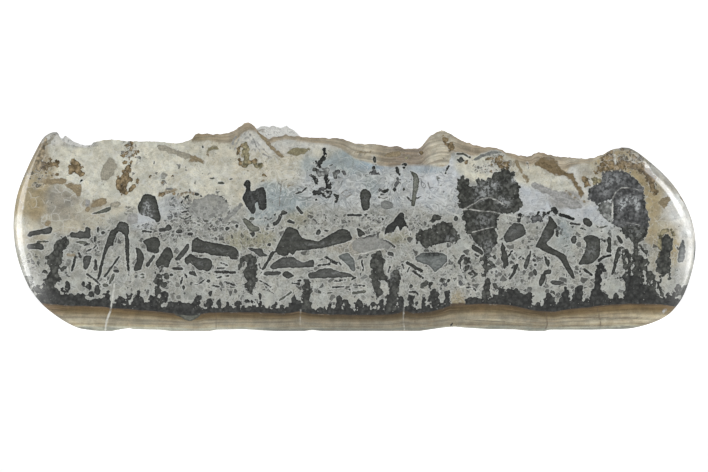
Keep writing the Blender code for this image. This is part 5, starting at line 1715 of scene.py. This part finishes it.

# %% [markdown]
# ### Four finishes
#
# The polished face is smooth and a little wet-looking, with painted shade along the outline of its
# ends. The sawn back shows the same figure, but dulled by fine scratches along the saw's path and
# by lime dust. The crust is chalky beige with brown stain on its heads and darker grey in its
# creases. Its left end and the hump behind the peak are near white: partly a paler crust, partly
# painted light where the top catches the light. The underside is grey-green mudstone.

# %% Start of a finish
def finish_material(name, roughness):
    """Starts a material and turns `tree` to it; gives its surface's inputs and the place in mm too."""
    global tree
    material = bpy.data.materials.new(name)
    material.use_nodes = True
    tree = material.node_tree
    surface = tree.nodes["Principled BSDF"].inputs
    surface["Roughness"].default_value = roughness
    where = add("TexCoord").outputs["Object"]
    return material, surface, stretched(where, (1 / MM, 1 / MM, 1 / MM))


def bump(surface, height, distance, strength=1.0):
    sockets = {"Height": height, "Distance": distance, "Strength": strength}
    wire(surface["Normal"], add("Bump", sockets).outputs["Normal"])


print("every finish starts from a smooth shader")

# %% Polished face
polished, surface, point = finish_material("polished_limestone", 0.2)
surface["Specular IOR Level"].default_value = 0.4
surface["Coat Roughness"].default_value = 0.15
surface["Coat IOR"].default_value = 2.0
seen = use(figure, Point=point, Fray=1.0)
rim_shade_and_roughness = stored("rim")
# painted shade: the face's colour is darkened along the outline of its ends
wire(surface["Base Color"], shaded(seen["Colour"], step(rim_shade_and_roughness, 0, 1, 1.0, 0.72)))
gloss = step(grain(point, 2.5), 0.3, 0.7, 0.09, 0.14)
wire(surface["Roughness"], calc("MULTIPLY_ADD", rim_shade_and_roughness, 0.4, gloss))
wire(surface["Coat Weight"], stored("rolled"))
bump(surface, grain(point, 1.2), 0.00001, 0.4)
print("finish:", polished.name)

# %% Sawn back
LIME_DUST = (0.42, 0.41, 0.37, 1)

sawn, surface, point = finish_material("sawn_limestone", 0.75)
seen = use(figure, Point=point, Fray=1.2)
dust = step(grain(point, 5.0, 4, 0.6), 0.35, 0.7, 0.22, 0.5)
saw_line = grain(stretched(point, (0.02, 1.0, 1.3)), 0.9, 2)
dulled = blend(dust, seen["Colour"], LIME_DUST)
wire(surface["Base Color"], shaded(dulled, step(saw_line, 0.35, 0.65, 0.9, 1.06)))
wire(surface["Roughness"], step(seen["Dark"], 0, 1, 0.8, 0.62))
bump(surface, calc("ADD", saw_line, grain(point, 0.5)), 0.00012)
print("finish:", sawn.name)

# %% Weathered crust
BEIGE, CHALK = (0.5, 0.47, 0.39, 1), (0.6, 0.59, 0.53, 1)
STAIN, RUST, CREASE_GREY = (0.3, 0.22, 0.14, 1), (0.36, 0.25, 0.14, 1), (0.2, 0.18, 0.15, 1)
PALER_AND_PAINTED_LIGHT = (0.97, 0.97, 0.92, 1)
HUMP_AT, HUMP_REACH = -29.0, (17.0, 5.0)  # x of the near-white hump, and where its whitening ends and is full
WHITENED_END = (-92.0, -110.0)  # x where the whitening of the left end starts and is full

crust, surface, point = finish_material("weathered_crust", 0.88)
tone = blend(step(grain(point, 7.0, 3), 0.35, 0.65), BEIGE, CHALK)
stained = step(grain(point, 11.0, 4, 0.6), 0.5, 0.64)
tone = blend(product(stained, 0.75), tone, STAIN)
rusty = step(grain(stretched(point, (1, 1, 2.2)), 3.0, 4, 0.6), 0.56, 0.66)
tone = blend(product(rusty, 0.5), tone, RUST)
# the creases between the heads are drawn darker grey
in_crease = step(stored("crease"), 0.35, 1.3)
tone = blend(product(in_crease, 0.6), tone, CREASE_GREY)
# the left end and the hump behind the peak are drawn near white: partly a paler crust, partly painted light
# where the top catches the light
from_left = add("SeparateXYZ", {"Vector": point}).outputs["X"]
hump = step(calc("ABSOLUTE", calc("SUBTRACT", from_left, HUMP_AT)), *HUMP_REACH)
paler_and_painted_light = calc("MAXIMUM", step(from_left, *WHITENED_END), hump)
paler_and_painted_light = step(roughened(paler_and_painted_light, point, 7.0, 2.2, 4, 0.6), 0.4, 0.6)
tone = blend(product(paler_and_painted_light, 0.92), tone, PALER_AND_PAINTED_LIGHT)
scribble = contour(grain(point, 2.6, 3), 4.5)
scribble = product(step(scribble, 0.12, 0.0), step(grain(point, 2.0), 0.4, 0.55))
tone = shaded(tone, step(scribble, 0, 1, 1.0, 0.5))
tone = shaded(tone, step(grain(point, 0.6, 3, 0.7), 0.3, 0.7, 0.82, 1.14))
wire(surface["Base Color"], tone)
pits = calc("MULTIPLY_ADD", grain(point, 0.5, 3, 0.6), 0.4, grain(point, 1.6, 4, 0.6))
bump(surface, pits, 0.0009)
print("finish:", crust.name)

# %% Underside
MOSSY, CLAY = (0.33, 0.33, 0.27, 1), (0.45, 0.44, 0.37, 1)

bedding, surface, point = finish_material("bedding_underside", 0.85)
tone = blend(step(grain(point, 9.0, 4, 0.6), 0.38, 0.62), MOSSY, CLAY)
tone = shaded(tone, step(grain(point, 0.8, 3, 0.6), 0.3, 0.7, 0.85, 1.12))
wire(surface["Base Color"], tone)
bump(surface, grain(point, 1.4, 4, 0.6), 0.0005)
print("finish:", bedding.name)

# %% [markdown]
# ## The finished stone
#
# Each region of the skin gets its finish. The ends count as polished, because the wheel went
# round them, so only the middle of the top is crust and only the middle of the base is bedding
# plane. The skin is also laid flat as a map in four strips, face, crust, back and base, so that
# no two places of the stone share a spot on it.

# %% Regions
CRUST_SPAN = (-119.4, 107.6)
BASE_SPAN = (-107.0, 107.0)


def mark_regions():
    centre = np.zeros(3 * len(mesh.polygons))
    mesh.polygons.foreach_get("center", centre)
    middle = centre.reshape(-1, 3)[:, 0] / MM
    kind = np.array(regions)
    for natural, span in ((CRUST, CRUST_SPAN), (BASE, BASE_SPAN)):
        kind[(kind == natural) & ((middle < span[0]) | (middle > span[1]))] = FACE
    mesh.polygons.foreach_set("material_index", kind)
    mesh.update()
    return kind


print("faces by finish:", np.bincount(mark_regions()).tolist())

# %% Map
STRIPS = (0.37, 0.53, 0.86, 1.0)  # where face, crust, back and base end on the map
BENT = 114  # mm from the middle, beyond which the outline turns round the ends


def lay_flat():
    """Writes the map: along the slab by the length of its outline, and up it strip by strip."""
    rise = 0.5 * (np.abs(np.diff(lowest(fine_x))) + np.abs(np.diff(highest(fine_x))))
    turn = np.hypot(np.diff(fine_x), rise * (np.abs(fine_x[1:]) > BENT))
    run = np.concatenate([[0], np.cumsum(turn)])
    run = run / run[-1]
    fine_rows, coarse_rows = len(fine_skin[0]), len(coarse_skin[0])
    up = np.concatenate([
        np.linspace(0, STRIPS[0], FACE_END),
        np.linspace(STRIPS[0], STRIPS[1], fine_rows - FACE_END + 1)[1:],
        np.linspace(STRIPS[1], STRIPS[2], BACK_ROWS + 1)[1:],
        np.linspace(STRIPS[2], STRIPS[3], coarse_rows - BACK_ROWS + 1)[1:-1],
    ])
    up = np.append(up, STRIPS[3] - 0.01)
    fine_map = np.stack(np.meshgrid(run, up[:fine_rows]), -1).reshape(-1, 2)
    coarse_map = np.stack(np.meshgrid(run[::2], up[fine_rows:]), -1).reshape(-1, 2)
    spots = np.vstack([fine_map, coarse_map])
    corner = np.zeros(len(mesh.loops), int)
    mesh.loops.foreach_get("vertex_index", corner)
    laid = spots[corner]
    counts = np.array([len(face) for face in faces])
    owner = np.repeat(np.arange(len(faces)), counts)
    highest_corner = np.maximum.reduceat(laid[:, 1], np.concatenate([[0], np.cumsum(counts)[:-1]]))
    wraps = (laid[:, 1] < 1e-6) & (highest_corner[owner] > STRIPS[2])
    laid[wraps, 1] = 1.0
    layer = mesh.uv_layers.new(name="OFBake")
    layer.data.foreach_set("uv", laid.astype(np.float32).ravel())
    return laid


print("map spans", np.ptp(lay_flat(), axis=0).round(3))

# %% Put it in place
SHARP_FROM = 50  # degrees between two faces

mesh.shade_smooth()
mesh.set_sharp_from_angle(angle=math.radians(SHARP_FROM))
for material in (polished, crust, sawn, bedding):
    mesh.materials.append(material)
slab = bpy.data.objects.new("stromatolite_stone", mesh)
bpy.context.scene.collection.objects.link(slab)
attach(slab, "root")
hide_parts("stromatolite_slab")
print(slab.name, "is in place")
